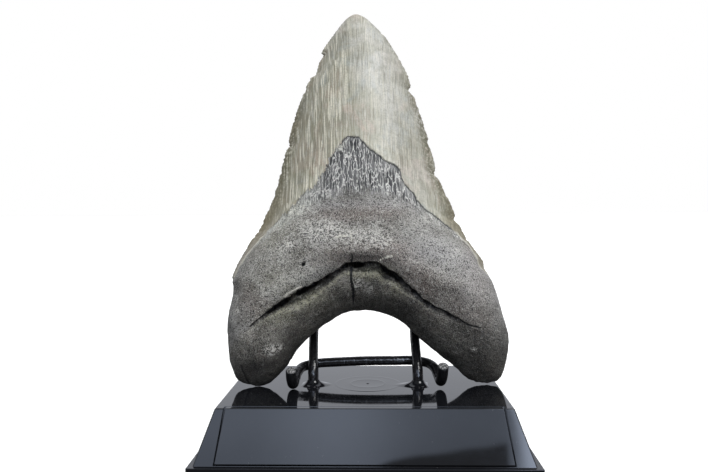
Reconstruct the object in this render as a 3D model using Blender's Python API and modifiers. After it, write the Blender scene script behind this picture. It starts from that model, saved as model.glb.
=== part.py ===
"""A fossil megalodon tooth leaning on the wire easel of a black moulded stand.

The frame: X to the right, Y to the back, Z up, with the origin in the middle of the stand's underside.
The tooth shows its lingual (tongue) side, with the dark chevron band, to the front.
"""

import math

import bmesh
import bpy
import numpy as np
from mathutils import Matrix, Vector

MM = 0.001
FIT_GAP = 0.3 * MM  # room between two pieces that touch

# ---- The stand's moulded base, in metres -----------------------------------------------------------------
TOP_WIDTH = 96.2 * MM
TOP_DEPTH = 65.6 * MM
FLARE = 6 * MM  # how far each sloping side runs out on its way down
SLOPE_HEIGHT = 16.9 * MM
LEDGE = 1.8 * MM  # the plinth's step beyond the sloping sides
PLINTH_HEIGHT = 6.6 * MM
BASE_HEIGHT = SLOPE_HEIGHT + PLINTH_HEIGHT
EDGE_ROUND = 0.4 * MM

PLATE_TOP_WIDTH = 90.2 * MM
PLATE_BOTTOM_WIDTH = 95.3 * MM
PLATE_HEIGHT = 16.7 * MM  # measured straight down, not along the slope
PLATE_THICKNESS = 2.2 * MM

# ---- The wire easel ---------------------------------------------------------------------------------------
WIRE_RADIUS = 3.3 * MM / 2  # 1/8 in wire with its paint
DIPPED_TIP = 1.1  # the cradle's dipped ends are this much thicker than the bare wire
UPRIGHT_FOOT_SWELL = 1.12  # and the paint has run down to the uprights' feet
SOCKET_DEPTH = 12 * MM
SOCKET_RADIUS = WIRE_RADIUS * UPRIGHT_FOOT_SWELL + FIT_GAP
# x, y of each foot, and how far its top is bent forward against the tooth, in mm.
UPRIGHTS = {"upright_left": (-19, -0.1, 2.5), "upright_right": (19.2, -0.8, 0.9)}
UPRIGHT_SIDEWAYS = -0.6  # the easel stands a little askew: both uprights drift to the left on their way up
# An upright's way from its foot, as (back, up) in mm: out from under the tooth, then up its back.
UPRIGHT_ROUTE = [
    (0, -11.5), (0, -5), (0, 1.8), (0.5, 4), (2.1, 6.8), (5.4, 10.6), (11.2, 16.9), (17.2, 23.6), (20.6, 31),
    (21.9, 42), (22.3, 56), (22.6, 70),
]
# The cradle wire, left hook to right hook, as (x, y, height above the base's top) in mm.
CRADLE_ROUTE = [
    (-25.6, -13.2, 8.2), (-25.7, -10.9, 4.5), (-25.6, -7.7, 2.15), (-25.2, -3.8, 2.9), (-24.7, 0.6, 4.4),
    (-23.3, 4.6, 5.5), (-19.5, 6.4, 6.2), (-10, 6.6, 6.95), (0, 6.8, 7.3), (10, 7.1, 7.35),
    (19.4, 7.3, 7.2), (23.6, 5.4, 6.6), (25.6, 1.8, 5.5), (26.4, -1.9, 3.6), (26.9, -5.0, 2.6),
    (27.2, -9.4, 4.9), (27.3, -12.8, 9.6),
]

# ---- The tooth, in mm, on the plane of its cutting edges: x across, z up from the foot of its root lobes -------
# Both edges run from a lobe's foot to the tip, point for point at about the same heights, with their chips.
LEFT_EDGE = [
    (-42, 0), (-48.7, 2.2), (-51.5, 7.5), (-52.4, 17), (-52.4, 27), (-51.2, 35), (-50.8, 37.4), (-51.8, 39.4),
    (-49.8, 44.4), (-46.8, 50), (-44.4, 54.2), (-41.7, 57.6), (-39.3, 63.4), (-37.5, 67.1), (-35.6, 73.4),
    (-34.3, 78), (-33.5, 81.5), (-32.7, 85.6), (-31.7, 89.2), (-30.5, 90.5), (-30.8, 92.8), (-28.6, 102.4),
    (-25.6, 111.2), (-22.3, 119.2), (-20.3, 120), (-19, 124.6), (-16.7, 128.5), (-18, 129.6), (-13.5, 136.8),
    (-9.8, 142),
]
RIGHT_EDGE = [
    (42.3, 0), (46.8, 1.3), (50, 7.8), (51.1, 16), (48.8, 26.5), (46.6, 35.2), (45.2, 39), (43.2, 42.2),
    (43, 45), (38.8, 51.2), (36.5, 54.8), (34.5, 59.1), (32.4, 61.2), (33, 62.8), (28.8, 73.8),
    (27.1, 77.3), (25.5, 78.9), (26.1, 81.9), (24.4, 89.3), (23.2, 92), (23.6, 93.4), (21, 103),
    (18.7, 110.7), (16.2, 113.8), (17.3, 115), (16.5, 119.4), (14, 125.2), (12.2, 128.5), (7.6, 136.6),
    (2.5, 142.2),
]
ARCH = [
    (-42, 0), (-38.6, 0.2), (-35, 2.2), (-31.6, 5.4), (-26.4, 12.6), (-19.5, 19.8), (-14.2, 23.4), (-8.5, 26),
    (-1.9, 26.8), (5.5, 25.6), (11, 22.8), (18.6, 15.9), (27.4, 8.5), (32, 4.7), (37, 1.1), (42.3, 0),
]
TIP = [(-9.8, 142), (-7.2, 144.6), (-4.2, 146.2), (-0.6, 144.7), (2.5, 142.2)]
# The foot of the enamel: on the lingual side the top of the dark chevron band, on the labial side a low arch.
LINGUAL_ENAMEL = [
    (-54, 38), (-50.2, 41.1), (-47.9, 44.6), (-39.8, 54.5), (-31.2, 62.5), (-25.6, 67.8), (-18.9, 73.8),
    (-14.5, 81.4), (-10.8, 88), (-7, 90.6), (-4.8, 90.6), (-0.4, 86.6), (5.8, 81.2), (11, 79), (12.4, 73.7),
    (16.7, 68.2), (19.6, 64.4), (28, 58.9), (37.7, 50.8), (41.5, 42.5), (46, 39),
]
LABIAL_ENAMEL = [(-54, 39), (-40, 45), (-20, 50.5), (0, 52.5), (20, 50), (36, 45), (46, 39)]
# The long crack across the root's lingual bulge.
ROOT_CRACK = [
    (-43, 20.1), (-38.3, 23.5), (-34.9, 26.6), (-30.4, 29.7), (-25.1, 32.8), (-18.8, 36.9), (-12.8, 39.5),
    (-7.1, 41.9), (-2, 41.4), (3, 41.8), (7.2, 38), (11.7, 34.4), (17, 30), (22.9, 25.8), (28.1, 23.3), (33, 20.4),
]

CROWN_LINGUAL = 14.0  # depth of the crown's convex side at its foot
CROWN_LABIAL = 5.0
ROOT_LINGUAL = 15.5  # depth of the root's bulge on the lobes
ROOT_TORUS = 4.2  # the extra depth of the bulge at its middle
ROOT_LABIAL = 8.5
CRACK_DEPTH = 2.6
CRACK_HALF_WIDTH = 1.3
CRACK_STEP = 0.9  # the root below the crack stands back this far
CRACK_POINT = 3  # the point of both edges at the height of the crack's ends
SUMMIT = 150.0  # the height at which the crown's depth would run out

TOOTH_LEAN = math.radians(13)
TOOTH_YAW = math.radians(2.5)
TOOTH_FOOT = (2.2 * MM, -1.1 * MM)  # x, y of the middle of the root's foot
TOOTH_COLUMNS = 34
LONG_STRETCH = 5.5  # between edge points farther apart than this the mesh has one more row


# ---- Helpers ------------------------------------------------------------------------------------------------
def smooth_step(low, high, value):
    t = np.clip((value - low) / (high - low), 0, 1)
    return t * t * (3 - 2 * t)


def smooth_curve(points, steps=12):
    """A smooth curve through the points, as an array with that many steps between each two."""
    p = np.array(points, float)
    length = np.linalg.norm(np.diff(p, axis=0), axis=1)[:, None]
    slope = np.diff(p, axis=0) / length
    inner = (slope[:-1] * length[1:] + slope[1:] * length[:-1]) / (length[:-1] + length[1:])
    tangent = np.vstack([slope[:1], inner, slope[-1:]])
    t = np.linspace(0, 1, steps, endpoint=False)[:, None]
    leaving, arriving = tangent[:-1, None] * length[:, None], tangent[1:, None] * length[:, None]
    curve = (2 * t**3 - 3 * t**2 + 1) * p[:-1, None] + (t**3 - 2 * t**2 + t) * leaving
    curve = curve + (3 * t**2 - 2 * t**3) * p[1:, None] + (t**3 - t**2) * arriving
    return np.vstack([curve.reshape(-1, p.shape[1]), p[-1:]])


def by_length(curve, share):
    """Points at these shares of the curve's length."""
    lengths = np.concatenate([[0], np.cumsum(np.linalg.norm(np.diff(curve, axis=0), axis=1))])
    wanted = np.asarray(share) * lengths[-1]
    return np.stack([np.interp(wanted, lengths, curve[:, k]) for k in range(curve.shape[1])], axis=-1)


def by_count(curve, share):
    """Points at these shares of the curve's count of steps."""
    counts = np.linspace(0, 1, len(curve))
    return np.stack([np.interp(share, counts, curve[:, k]) for k in range(curve.shape[1])], axis=-1)


def evened(curve, reach=30):
    """The curve with its chips and bumps smoothed away, its ends kept."""
    padded = np.vstack([2 * curve[0] - curve[reach:0:-1], curve, 2 * curve[-1] - curve[-2 : -reach - 2 : -1]])
    window = np.hanning(2 * reach + 3)[1:-1]
    window = window / window.sum()
    return np.stack([np.convolve(padded[:, k], window, mode="valid") for k in range(curve.shape[1])], axis=-1)


def distance_to(x, z, curve):
    """Distance of each point from a flat polyline."""
    nearest = np.full(np.shape(x), np.inf)
    for (ax, az), (bx, bz) in zip(curve[:-1], curve[1:]):
        run, rise = bx - ax, bz - az
        t = np.clip(((x - ax) * run + (z - az) * rise) / (run * run + rise * rise), 0, 1)
        nearest = np.minimum(nearest, np.hypot(x - ax - t * run, z - az - t * rise))
    return nearest


def rim(distance, reach, power):
    """0 at an edge, rising steeply and rounding over to 1 at that reach from it."""
    t = 1 - np.clip(distance / reach, 0, 1)
    return (1 - t**power) ** (1 / power)


# ---- The tooth's form ---------------------------------------------------------------------------------------
LEFT_CURVE, RIGHT_CURVE, ARCH_CURVE, TIP_CURVE, CRACK_CURVE = (
    smooth_curve(points) for points in (LEFT_EDGE, RIGHT_EDGE, ARCH, TIP, ROOT_CRACK)
)
CRACK_ROW = CRACK_POINT / (len(LEFT_EDGE) - 1)
EVEN_LEFT, EVEN_RIGHT = evened(LEFT_CURVE), evened(RIGHT_CURVE)
SIDES = np.vstack([EVEN_LEFT, TIP_CURVE, EVEN_RIGHT[::-1]])[::4]


def flat_patch(u, v):
    """The place in the tooth's even outline of u (-1 left edge, 1 right edge) and v (0 arch, 1 tip)."""
    s = (np.asarray(u) + 1) / 2
    v = np.asarray(v)
    low, high = by_length(ARCH_CURVE, s), by_length(TIP_CURVE, s)
    left, right = by_count(EVEN_LEFT, v), by_count(EVEN_RIGHT, v)
    s, v = s[..., None], v[..., None]
    foot = (1 - s) * ARCH_CURVE[0] + s * ARCH_CURVE[-1]
    head = (1 - s) * TIP_CURVE[0] + s * TIP_CURVE[-1]
    place = (1 - v) * (low - foot) + v * (high - head) + (1 - s) * left + s * right
    return place[..., 0], place[..., 1]


def chip_edges(x, z, u, v):
    """Moves what is near an edge out to its true line, with the chips."""
    near = np.abs(u) ** 10
    left, right = by_count(LEFT_CURVE - EVEN_LEFT, v), by_count(RIGHT_CURVE - EVEN_RIGHT, v)
    shift = np.where(u[..., None] < 0, left, right) * near[..., None]
    return x + shift[..., 0], z + shift[..., 1]


def follow_crack(x, z, v):
    """Shifts the rows near the crack so that one row runs along it."""
    u = np.linspace(-0.97, 0.97, 60)
    row_x, row_z = flat_patch(u, np.full_like(u, CRACK_ROW))
    shift = np.interp(row_x, CRACK_CURVE[:, 0], CRACK_CURVE[:, 1]) - row_z
    inside = smooth_step(-51, -43, row_x) * (1 - smooth_step(33, 45, row_x))
    return z + np.interp(x, row_x, shift * inside) * np.exp(-(((v - CRACK_ROW) / 0.05) ** 2))


def lingual_depth(x, z, u):
    """How far the front surface stands out from the plane of the edges."""
    enamel = np.interp(x, *smooth_curve(LINGUAL_ENAMEL).T)
    band = 4 + 22 * np.clip(1 - np.abs(x) / 46, 0, 1)
    rootward = 1 - smooth_step(enamel - band, enamel + 5, z)
    crown = CROWN_LINGUAL * np.sqrt(np.clip(1 - (z / SUMMIT) ** 3, 0, 1)) * (1 - u * u) ** 1.1
    from_arch, from_side = distance_to(x, z, ARCH_CURVE), distance_to(x, z, SIDES)
    crest_fall = 1 - 0.18 * smooth_step(19, 44, from_arch)
    root = (ROOT_LINGUAL + ROOT_TORUS * np.exp(-((x / 24) ** 2))) * crest_fall
    root = root * rim(from_arch, 18, 1.7) * rim(from_side, 14, 1.9)
    cut = 1 - smooth_step(0.1, CRACK_HALF_WIDTH, distance_to(x, z, CRACK_CURVE))
    below = 1 - smooth_step(-0.6, 0.6, z - np.interp(x, CRACK_CURVE[:, 0], CRACK_CURVE[:, 1]))
    along = smooth_step(-47, -36, x) * (1 - smooth_step(26, 38, x))
    groove = CRACK_DEPTH * cut * (0.5 + 0.5 * np.exp(-(((x - 1) / 22) ** 2)))
    step = CRACK_STEP * below * along * smooth_step(3, 12, from_arch)
    return crown * (1 - rootward) + (root - groove - step) * rootward


def labial_depth(x, z, u):
    """How far the back surface stands out from the plane of the edges."""
    enamel = np.interp(x, *smooth_curve(LABIAL_ENAMEL).T)
    rootward = 1 - smooth_step(enamel - 11, enamel + 3, z)
    crown = CROWN_LABIAL * np.sqrt(np.clip(1 - (z / SUMMIT) ** 3, 0, 1)) * (1 - u * u) ** 1.1
    root = ROOT_LABIAL * rim(distance_to(x, z, ARCH_CURVE), 11, 1.9) * rim(distance_to(x, z, SIDES), 11, 1.9)
    root = root * (0.5 + 0.5 * smooth_step(0, 15, z))
    return crown * (1 - rootward) + root * rootward


def row_places():
    """The v of each row of the mesh: one at every edge point, more where they are far apart and at the crack."""
    lengths = np.maximum(*(np.linalg.norm(np.diff(edge, axis=0), axis=1) for edge in (LEFT_EDGE, RIGHT_EDGE)))
    places = [CRACK_ROW - 0.0055, CRACK_ROW + 0.0055, 1.0]
    for point, length in enumerate(lengths):
        places.append(point / len(lengths))
        if length > LONG_STRETCH:
            places.append((point + 0.5) / len(lengths))
    return np.sort(places)


def tooth_mesh():
    """The tooth as one closed shell: a grid for each side, joined along the edges."""
    rows = row_places()
    bm = bmesh.new()
    bmesh.ops.create_grid(bm, x_segments=TOOTH_COLUMNS, y_segments=len(rows) - 1, size=1)
    back = bmesh.ops.duplicate(bm, geom=bm.verts[:] + bm.edges[:] + bm.faces[:])["geom"]
    back_faces = [g for g in back if isinstance(g, bmesh.types.BMFace)]
    back_verts = {g for g in back if isinstance(g, bmesh.types.BMVert)}
    bmesh.ops.reverse_faces(bm, faces=back_faces)

    grid = np.array([v.co for v in bm.verts])
    is_back = np.array([v in back_verts for v in bm.verts])
    u = np.sin(grid[:, 0] * math.pi / 2)
    v = rows[np.rint((grid[:, 1] + 1) / 2 * (len(rows) - 1)).astype(int)]
    edge = (np.abs(grid) > 1 - 1e-5)[:, :2].any(axis=1)

    x, z = flat_patch(u, v)
    z = np.where(edge, z, follow_crack(x, z, v))
    depth = np.where(is_back, labial_depth(x, z, u), -lingual_depth(x, z, u))
    depth = np.where(edge, 0, depth)
    x, z = chip_edges(x, z, u, v)
    for vert, place in zip(bm.verts, np.stack([x, depth, z], axis=1) * MM):
        vert.co = place
    bmesh.ops.remove_doubles(bm, verts=bm.verts[:], dist=1e-6)
    mesh = bpy.data.meshes.new("tooth")
    bm.to_mesh(mesh)
    bm.free()
    return mesh


# ---- Blender helpers ------------------------------------------------------------------------------------------
def material(name, color, roughness, metallic=0.0):
    made = bpy.data.materials.new(name)
    made.use_nodes = True
    shader = made.node_tree.nodes["Principled BSDF"]
    shader.inputs["Base Color"].default_value = (*color, 1)
    shader.inputs["Roughness"].default_value = roughness
    shader.inputs["Metallic"].default_value = metallic
    return made


def add_object(name, data, finish, collection):
    made = bpy.data.objects.new(name, data)
    made.data.materials.append(finish)
    collection.objects.link(made)
    return made


def cutter(name, mesh, collection):
    made = bpy.data.objects.new(name, mesh)
    collection.objects.link(made)
    made.hide_render = True
    made.display_type = "WIRE"
    return made


def box_mesh(name, corner):
    """A cube primitive whose corners go where corner(side_x, side_y, side_z) says, each side being -1 or 1."""
    bm = bmesh.new()
    bmesh.ops.create_cube(bm, size=2)
    for vert in bm.verts:
        vert.co = corner(*(round(c) for c in vert.co))
    mesh = bpy.data.meshes.new(name)
    bm.to_mesh(mesh)
    bm.free()
    return mesh


def cylinder_mesh(name, radius, low, high, sides=16):
    bm = bmesh.new()
    bmesh.ops.create_cone(bm, cap_ends=True, segments=sides, radius1=radius, radius2=radius, depth=high - low)
    bmesh.ops.translate(bm, verts=bm.verts[:], vec=(0, 0, (low + high) / 2))
    mesh = bpy.data.meshes.new(name)
    bm.to_mesh(mesh)
    bm.free()
    return mesh


def bevel(target, width, segments=2):
    rounding = target.modifiers.new("rounded edges", "BEVEL")
    rounding.width = width
    rounding.segments = segments
    rounding.limit_method = "ANGLE"
    return rounding


def boolean(target, other, operation):
    joined = target.modifiers.new(f"{operation.lower()} {other.name}", "BOOLEAN")
    joined.operation = operation
    joined.object = other
    return joined


def wire(name, route, thickness, finish, collection):
    """A bent wire along these points, in metres, each with its own thickness as a multiple of the wire's."""
    curve = bpy.data.curves.new(name, "CURVE")
    curve.dimensions = "3D"
    curve.bevel_depth = WIRE_RADIUS
    curve.bevel_resolution = 3
    curve.use_fill_caps = True
    spline = curve.splines.new("POLY")
    spline.points.add(len(route) - 1)
    for point, place, swell in zip(spline.points, route, thickness):
        point.co = (*place, 1)
        point.radius = swell
    return add_object(name, curve, finish, collection)


# ---- The stand ------------------------------------------------------------------------------------------------
def front_face_y(height):
    """Y of the sloping front face at this height above the ground."""
    return -TOP_DEPTH / 2 - FLARE * (BASE_HEIGHT - height) / SLOPE_HEIGHT


def sloping_block(side_x, side_y, side_z):
    below = 3 * MM  # the block runs down into the plinth
    if side_z > 0:
        return side_x * TOP_WIDTH / 2, side_y * TOP_DEPTH / 2, BASE_HEIGHT
    spread = FLARE * (SLOPE_HEIGHT + below) / SLOPE_HEIGHT
    return side_x * (TOP_WIDTH / 2 + spread), side_y * (TOP_DEPTH / 2 + spread), PLINTH_HEIGHT - below


def plinth_block(side_x, side_y, side_z):
    reach = FLARE + LEDGE
    return side_x * (TOP_WIDTH / 2 + reach), side_y * (TOP_DEPTH / 2 + reach), PLINTH_HEIGHT * (side_z + 1) / 2


def plate_corner(inset, thickness, top_overrun=0.0, front_overrun=0.0):
    """The corners of the name plate, or of its slot, as a slab that lies in the sloping front face."""

    def corner(side_x, side_y, side_z):
        if side_z > 0:
            height, half_width = BASE_HEIGHT + top_overrun, PLATE_TOP_WIDTH / 2
        else:
            height, half_width = BASE_HEIGHT - PLATE_HEIGHT + inset, PLATE_BOTTOM_WIDTH / 2
        face = front_face_y(height)
        return side_x * (half_width - inset), face + thickness if side_y > 0 else face - front_overrun, height

    return corner


def collar_mesh(name):
    """The moulded flare round an upright's socket: a turned profile that runs from its top rim down and out."""
    profile = [(0.0, 1.5), (2.5, 1.5), (2.8, 1.1), (3.4, 0.6), (4.6, 0.2), (6.2, -0.05), (6.2, -1.0), (0.0, -1.0)]
    bm = bmesh.new()
    verts = [bm.verts.new((r * MM, 0, h * MM)) for r, h in profile]
    edges = [bm.edges.new(pair) for pair in zip(verts[:-1], verts[1:])]
    bmesh.ops.spin(
        bm, geom=verts + edges, axis=(0, 0, 1), cent=(0, 0, 0), steps=20, angle=2 * math.pi, use_merge=True
    )
    bmesh.ops.remove_doubles(bm, verts=bm.verts[:], dist=1e-6)
    bmesh.ops.recalc_face_normals(bm, faces=bm.faces[:])
    mesh = bpy.data.meshes.new(name)
    bm.to_mesh(mesh)
    bm.free()
    return mesh


def make_base(finish, parts, cutters):
    base = add_object("stand_base", box_mesh("stand_base", sloping_block), finish, parts)
    bevel(base, EDGE_ROUND)
    plinth = cutter("plinth", box_mesh("plinth", plinth_block), cutters)
    bevel(plinth, EDGE_ROUND / 2)
    boolean(base, plinth, "UNION")
    slot = plate_corner(0, PLATE_THICKNESS + FIT_GAP, top_overrun=2 * MM, front_overrun=2 * MM)
    boolean(base, cutter("plate_slot", box_mesh("plate_slot", slot), cutters), "DIFFERENCE")
    for name, (x, y, _) in UPRIGHTS.items():
        foot = (x * MM, y * MM, BASE_HEIGHT)
        collar = cutter(f"{name}_collar", collar_mesh(f"{name}_collar"), cutters)
        socket_mesh = cylinder_mesh(f"{name}_socket", SOCKET_RADIUS, -SOCKET_DEPTH, 4 * MM)
        socket = cutter(f"{name}_socket", socket_mesh, cutters)
        collar.location = socket.location = foot
        socket.rotation_euler.z = math.radians(5)
        boolean(base, collar, "UNION")
        boolean(base, socket, "DIFFERENCE")
    return base


def make_easel(finish, parts):
    lift = np.array([0, 0, BASE_HEIGHT])
    for name, (x, y, forward) in UPRIGHTS.items():
        route = smooth_curve([(x, y + back, up) for back, up in UPRIGHT_ROUTE], steps=2)
        route[:, 0] += UPRIGHT_SIDEWAYS * smooth_step(2, 18, route[:, 2])
        route[:, 1] -= forward * smooth_step(25, 60, route[:, 2])
        swell = 1 + (UPRIGHT_FOOT_SWELL - 1) * (1 - smooth_step(6, 9, route[:, 2]))
        wire(name, route * MM + lift, swell, finish, parts)
    route = smooth_curve(CRADLE_ROUTE, steps=3)
    swell = 1 + (DIPPED_TIP - 1) * (1 - smooth_step(-6.5, -3.5, route[:, 1]))
    wire("cradle_wire", route * MM + lift, swell, finish, parts)


def make_tooth(finish, parts):
    tooth = add_object("megalodon_tooth", tooth_mesh(), finish, parts)
    tooth.rotation_euler = (-TOOTH_LEAN, 0, TOOTH_YAW)
    turn = tooth.rotation_euler.to_matrix()
    lowest = min((turn @ vert.co).z for vert in tooth.data.vertices)
    tooth.location = (*TOOTH_FOOT, BASE_HEIGHT + FIT_GAP - lowest)
    tooth.data.shade_smooth()
    return tooth


def main():
    for old in list(bpy.data.objects):
        bpy.data.objects.remove(old)
    scene = bpy.context.scene.collection
    parts = bpy.data.collections.new("megalodon tooth on its stand")
    cutters = bpy.data.collections.new("cutters")
    scene.children.link(parts)
    scene.children.link(cutters)

    moulded = material("moulded plastic", (0.012, 0.013, 0.016), 0.08)
    plate_finish = material("name plate", (0.014, 0.015, 0.018), 0.1)
    painted = material("painted wire", (0.008, 0.008, 0.009), 0.3)
    fossil = material("fossil tooth", (0.2, 0.18, 0.16), 0.55)

    make_base(moulded, parts, cutters)
    plate = plate_corner(FIT_GAP, PLATE_THICKNESS)
    add_object("name_plate", box_mesh("name_plate", plate), plate_finish, parts)
    make_easel(painted, parts)
    make_tooth(fossil, parts)


main()
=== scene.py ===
"""The looks of a fossil megalodon tooth on its black display stand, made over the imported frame.

The frame: metres, X to the right, Y to the back, Z up, with the origin in the middle of the stand's underside.
Lists of places on the tooth and the wires are in mm; the tooth's own are across, depth and up from its root's foot.
"""

import itertools
import math

import bmesh
import bpy
import numpy as np
from mathutils import Matrix, Vector


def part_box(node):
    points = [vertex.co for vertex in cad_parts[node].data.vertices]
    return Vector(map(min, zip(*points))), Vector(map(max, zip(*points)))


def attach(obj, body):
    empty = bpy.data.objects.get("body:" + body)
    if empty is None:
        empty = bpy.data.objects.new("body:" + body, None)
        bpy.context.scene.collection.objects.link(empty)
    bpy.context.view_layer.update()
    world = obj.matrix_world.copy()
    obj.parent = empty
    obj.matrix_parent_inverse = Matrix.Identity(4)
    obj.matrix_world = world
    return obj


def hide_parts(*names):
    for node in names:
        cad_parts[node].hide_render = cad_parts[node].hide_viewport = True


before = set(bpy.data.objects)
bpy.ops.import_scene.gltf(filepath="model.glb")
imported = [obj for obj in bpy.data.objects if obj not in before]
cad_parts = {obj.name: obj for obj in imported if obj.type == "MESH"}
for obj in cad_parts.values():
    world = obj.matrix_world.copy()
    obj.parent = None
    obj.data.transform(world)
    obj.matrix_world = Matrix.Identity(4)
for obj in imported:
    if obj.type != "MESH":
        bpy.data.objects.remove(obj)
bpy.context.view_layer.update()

MM = 0.001
FIT_GAP = 0.3 * MM

# ---- The stand ------------------------------------------------------------------------------------------------
TOP_WIDTH = 96.2 * MM
TOP_DEPTH = 65.6 * MM
FLARE = 6 * MM  # how far each sloping side runs out on its way down
SLOPE_HEIGHT = 16.9 * MM
PLINTH_HEIGHT = 6.6 * MM
BASE_HEIGHT = SLOPE_HEIGHT + PLINTH_HEIGHT
EDGE_ROUND = 0.4 * MM
PLATE_TOP_WIDTH = 90.2 * MM
PLATE_BOTTOM_WIDTH = 95.3 * MM
PLATE_HEIGHT = 16.7 * MM
PLATE_THICKNESS = 2.2 * MM
PLATE_EDGE_ROUND = 0.25 * MM

WIRE_RADIUS = 3.45 * MM / 2
WIRE_SIDES = 28
DIPPED_TIP = 1.1
UPRIGHT_FOOT_SWELL = 1.12
# x, y of each foot, and how far its top is bent forward against the tooth, in mm.
UPRIGHTS = {"upright_left": (-19, -0.1, 2.5), "upright_right": (19.2, -0.8, 0.9)}
UPRIGHT_SIDEWAYS = -0.6
UPRIGHT_ROUTE = [
    (0, -11.5), (0, -5), (0, 1.8), (0.5, 4), (2.1, 6.8), (5.4, 10.6), (11.2, 16.9), (17.2, 23.6), (20.6, 31),
    (21.9, 42), (22.3, 56), (22.6, 70),
]
CRADLE_ROUTE = [
    (-25.6, -13.2, 8.2), (-25.7, -10.9, 4.5), (-25.6, -7.7, 2.15), (-25.2, -3.8, 2.9), (-24.7, 0.6, 4.4),
    (-23.3, 4.6, 5.5), (-19.5, 6.4, 6.2), (-10, 6.6, 6.95), (0, 6.8, 7.3), (10, 7.1, 7.35),
    (19.4, 7.3, 7.2), (23.6, 5.4, 6.6), (25.6, 1.8, 5.5), (26.4, -1.9, 3.6), (26.9, -5.0, 2.6),
    (27.2, -9.4, 4.9), (27.3, -12.8, 9.6),
]

# ---- The tooth, in mm -----------------------------------------------------------------------------------------
LEFT_EDGE = [
    (-42, 0), (-48.7, 2.2), (-51.7, 7.5), (-52.8, 17), (-52.6, 27), (-51.5, 36.2), (-51.8, 38), (-51.4, 40),
    (-49.8, 44.4), (-46.8, 50), (-44.4, 54.2), (-41.7, 57.6), (-39.3, 63.4), (-37.5, 67.1), (-35.6, 73.4),
    (-34.3, 78), (-33.5, 81.5), (-32.7, 85.6), (-31.7, 89.2), (-30.5, 90.5), (-30.8, 92.8), (-28.6, 102.4),
    (-25.6, 111.2), (-22.3, 119.2), (-20.3, 120), (-19, 125.4), (-17.1, 128.7), (-18, 129.5), (-13.5, 136.8),
    (-9.8, 142),
]
RIGHT_EDGE = [
    (42.3, 0), (46.8, 1.3), (50, 7.8), (51.1, 16), (48.8, 26.5), (46.6, 35.2), (45.2, 39), (43.2, 42.2),
    (43, 45), (38.8, 51.2), (36.5, 54.8), (34.5, 59.1), (32.4, 61.2), (33, 62.8), (28.8, 73.8),
    (27.1, 77.3), (25.5, 78.9), (26.1, 81.9), (24.4, 89.3), (23.2, 92), (23.6, 93.4), (21, 103),
    (18.7, 110.7), (16.2, 113.8), (17.3, 115), (16.5, 119.4), (14, 125.2), (12.2, 128.5), (7.6, 136.6),
    (2.5, 142.2),
]
ARCH = [
    (-42, 0), (-38.6, 0.2), (-35, 2.2), (-31.6, 5.4), (-26.4, 12.6), (-19.5, 19.8), (-14.2, 23.4), (-8.5, 26),
    (-1.9, 26.8), (5.5, 25.6), (11, 22.8), (18.6, 15.9), (27.4, 8.5), (32, 4.7), (37, 1.1), (42.3, 0),
]
TIP = [(-9.8, 142), (-7, 143.3), (-4.6, 144.1), (-1, 143.2), (2.5, 142.2)]
LINGUAL_ENAMEL = [
    (-54, 38), (-50.2, 41.1), (-47.9, 44.6), (-39.8, 54.5), (-31.2, 62.5), (-25.6, 67.8), (-18.9, 73.8),
    (-14.5, 81.4), (-10.8, 88), (-7, 90.6), (-4.8, 90.6), (-0.4, 86.6), (5.8, 81.2), (11, 79), (12.4, 73.7),
    (16.7, 68.2), (19.6, 64.4), (28, 58.9), (37.7, 50.8), (41.5, 42.5), (46, 39),
]
LABIAL_ENAMEL = [(-54, 39), (-40, 45), (-20, 50.5), (0, 52.5), (20, 50), (36, 45), (46, 39)]
# The lower edge of the dark chevron band, where it fades into the root.
BAND_FOOT = [
    (-54, 40), (-39.4, 51.9), (-29, 57.7), (-21.7, 62.7), (-14.5, 66.5), (-7.3, 68.1), (1.8, 68), (10.8, 65.2),
    (20.1, 61.5), (29.6, 55.5), (39.7, 49.1), (46, 41),
]
# The crest of the root's bulge: light falls on the root above it, and the root below it turns away.
ROOT_CREST = [
    (-47, 26), (-37, 30.5), (-25, 36.5), (-14.5, 42.5), (-7.5, 46.4), (1.3, 46.3), (10, 42), (20.6, 37.5),
    (31.1, 32.8), (42.3, 28.6), (50, 24),
]
# The long crack across the root, with its half width at each point.
ROOT_CRACK = [
    (-43, 20.1), (-37.2, 24.3), (-33.6, 26.9), (-30, 28.8), (-26.5, 30.8), (-22.9, 33.2), (-19.2, 34.9),
    (-15.6, 37), (-12, 38.8), (-8.4, 40.9), (-5, 40.8), (-1.2, 41.6), (2.6, 41.5), (4.6, 39.4), (7.2, 37.6),
    (11.7, 34.4), (17, 30), (22.9, 25.8), (28.1, 23.3), (33, 20.4),
]
CRACK_HALF_WIDTHS = [
    0.15, 0.3, 0.7, 0.95, 1.0, 0.9, 0.65, 0.5, 0.45, 0.85, 1.15, 0.45, 0.4, 0.8, 1.1, 0.5, 0.42, 0.35, 0.35, 0.15,
]
SIDE_CRACK = [(-6.9, 45.2), (-6.9, 41.5), (-7.2, 38.9), (-6.6, 34.1), (-6.3, 31), (-6.4, 28.2)]
SIDE_CRACK_HALF_WIDTH = 0.44
FORAMEN = (-24, 41.9)  # the nutrient hole in the root
FORAMEN_RADIUS = 0.85

# Thin pale flakes and dashes on the root.
FLAKES = [
    [(2.7, 42.4), (4.4, 43.3), (7.2, 43.9)], [(-13.2, 51.2), (-10.6, 51.6), (-8.4, 51.3)], [(-7.3, 52.6), (-7.0, 49.6)],
    [(-30.3, 30.7), (-27.6, 32.3), (-24.8, 33.9)], [(-30.4, 50.9), (-29.4, 48.2)],
]
CRACKLETS = [
    [(-46, 7), (-44.8, 4.2), (-43.4, 1)], [(33, 20.4), (38, 19.2)],
]
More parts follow.
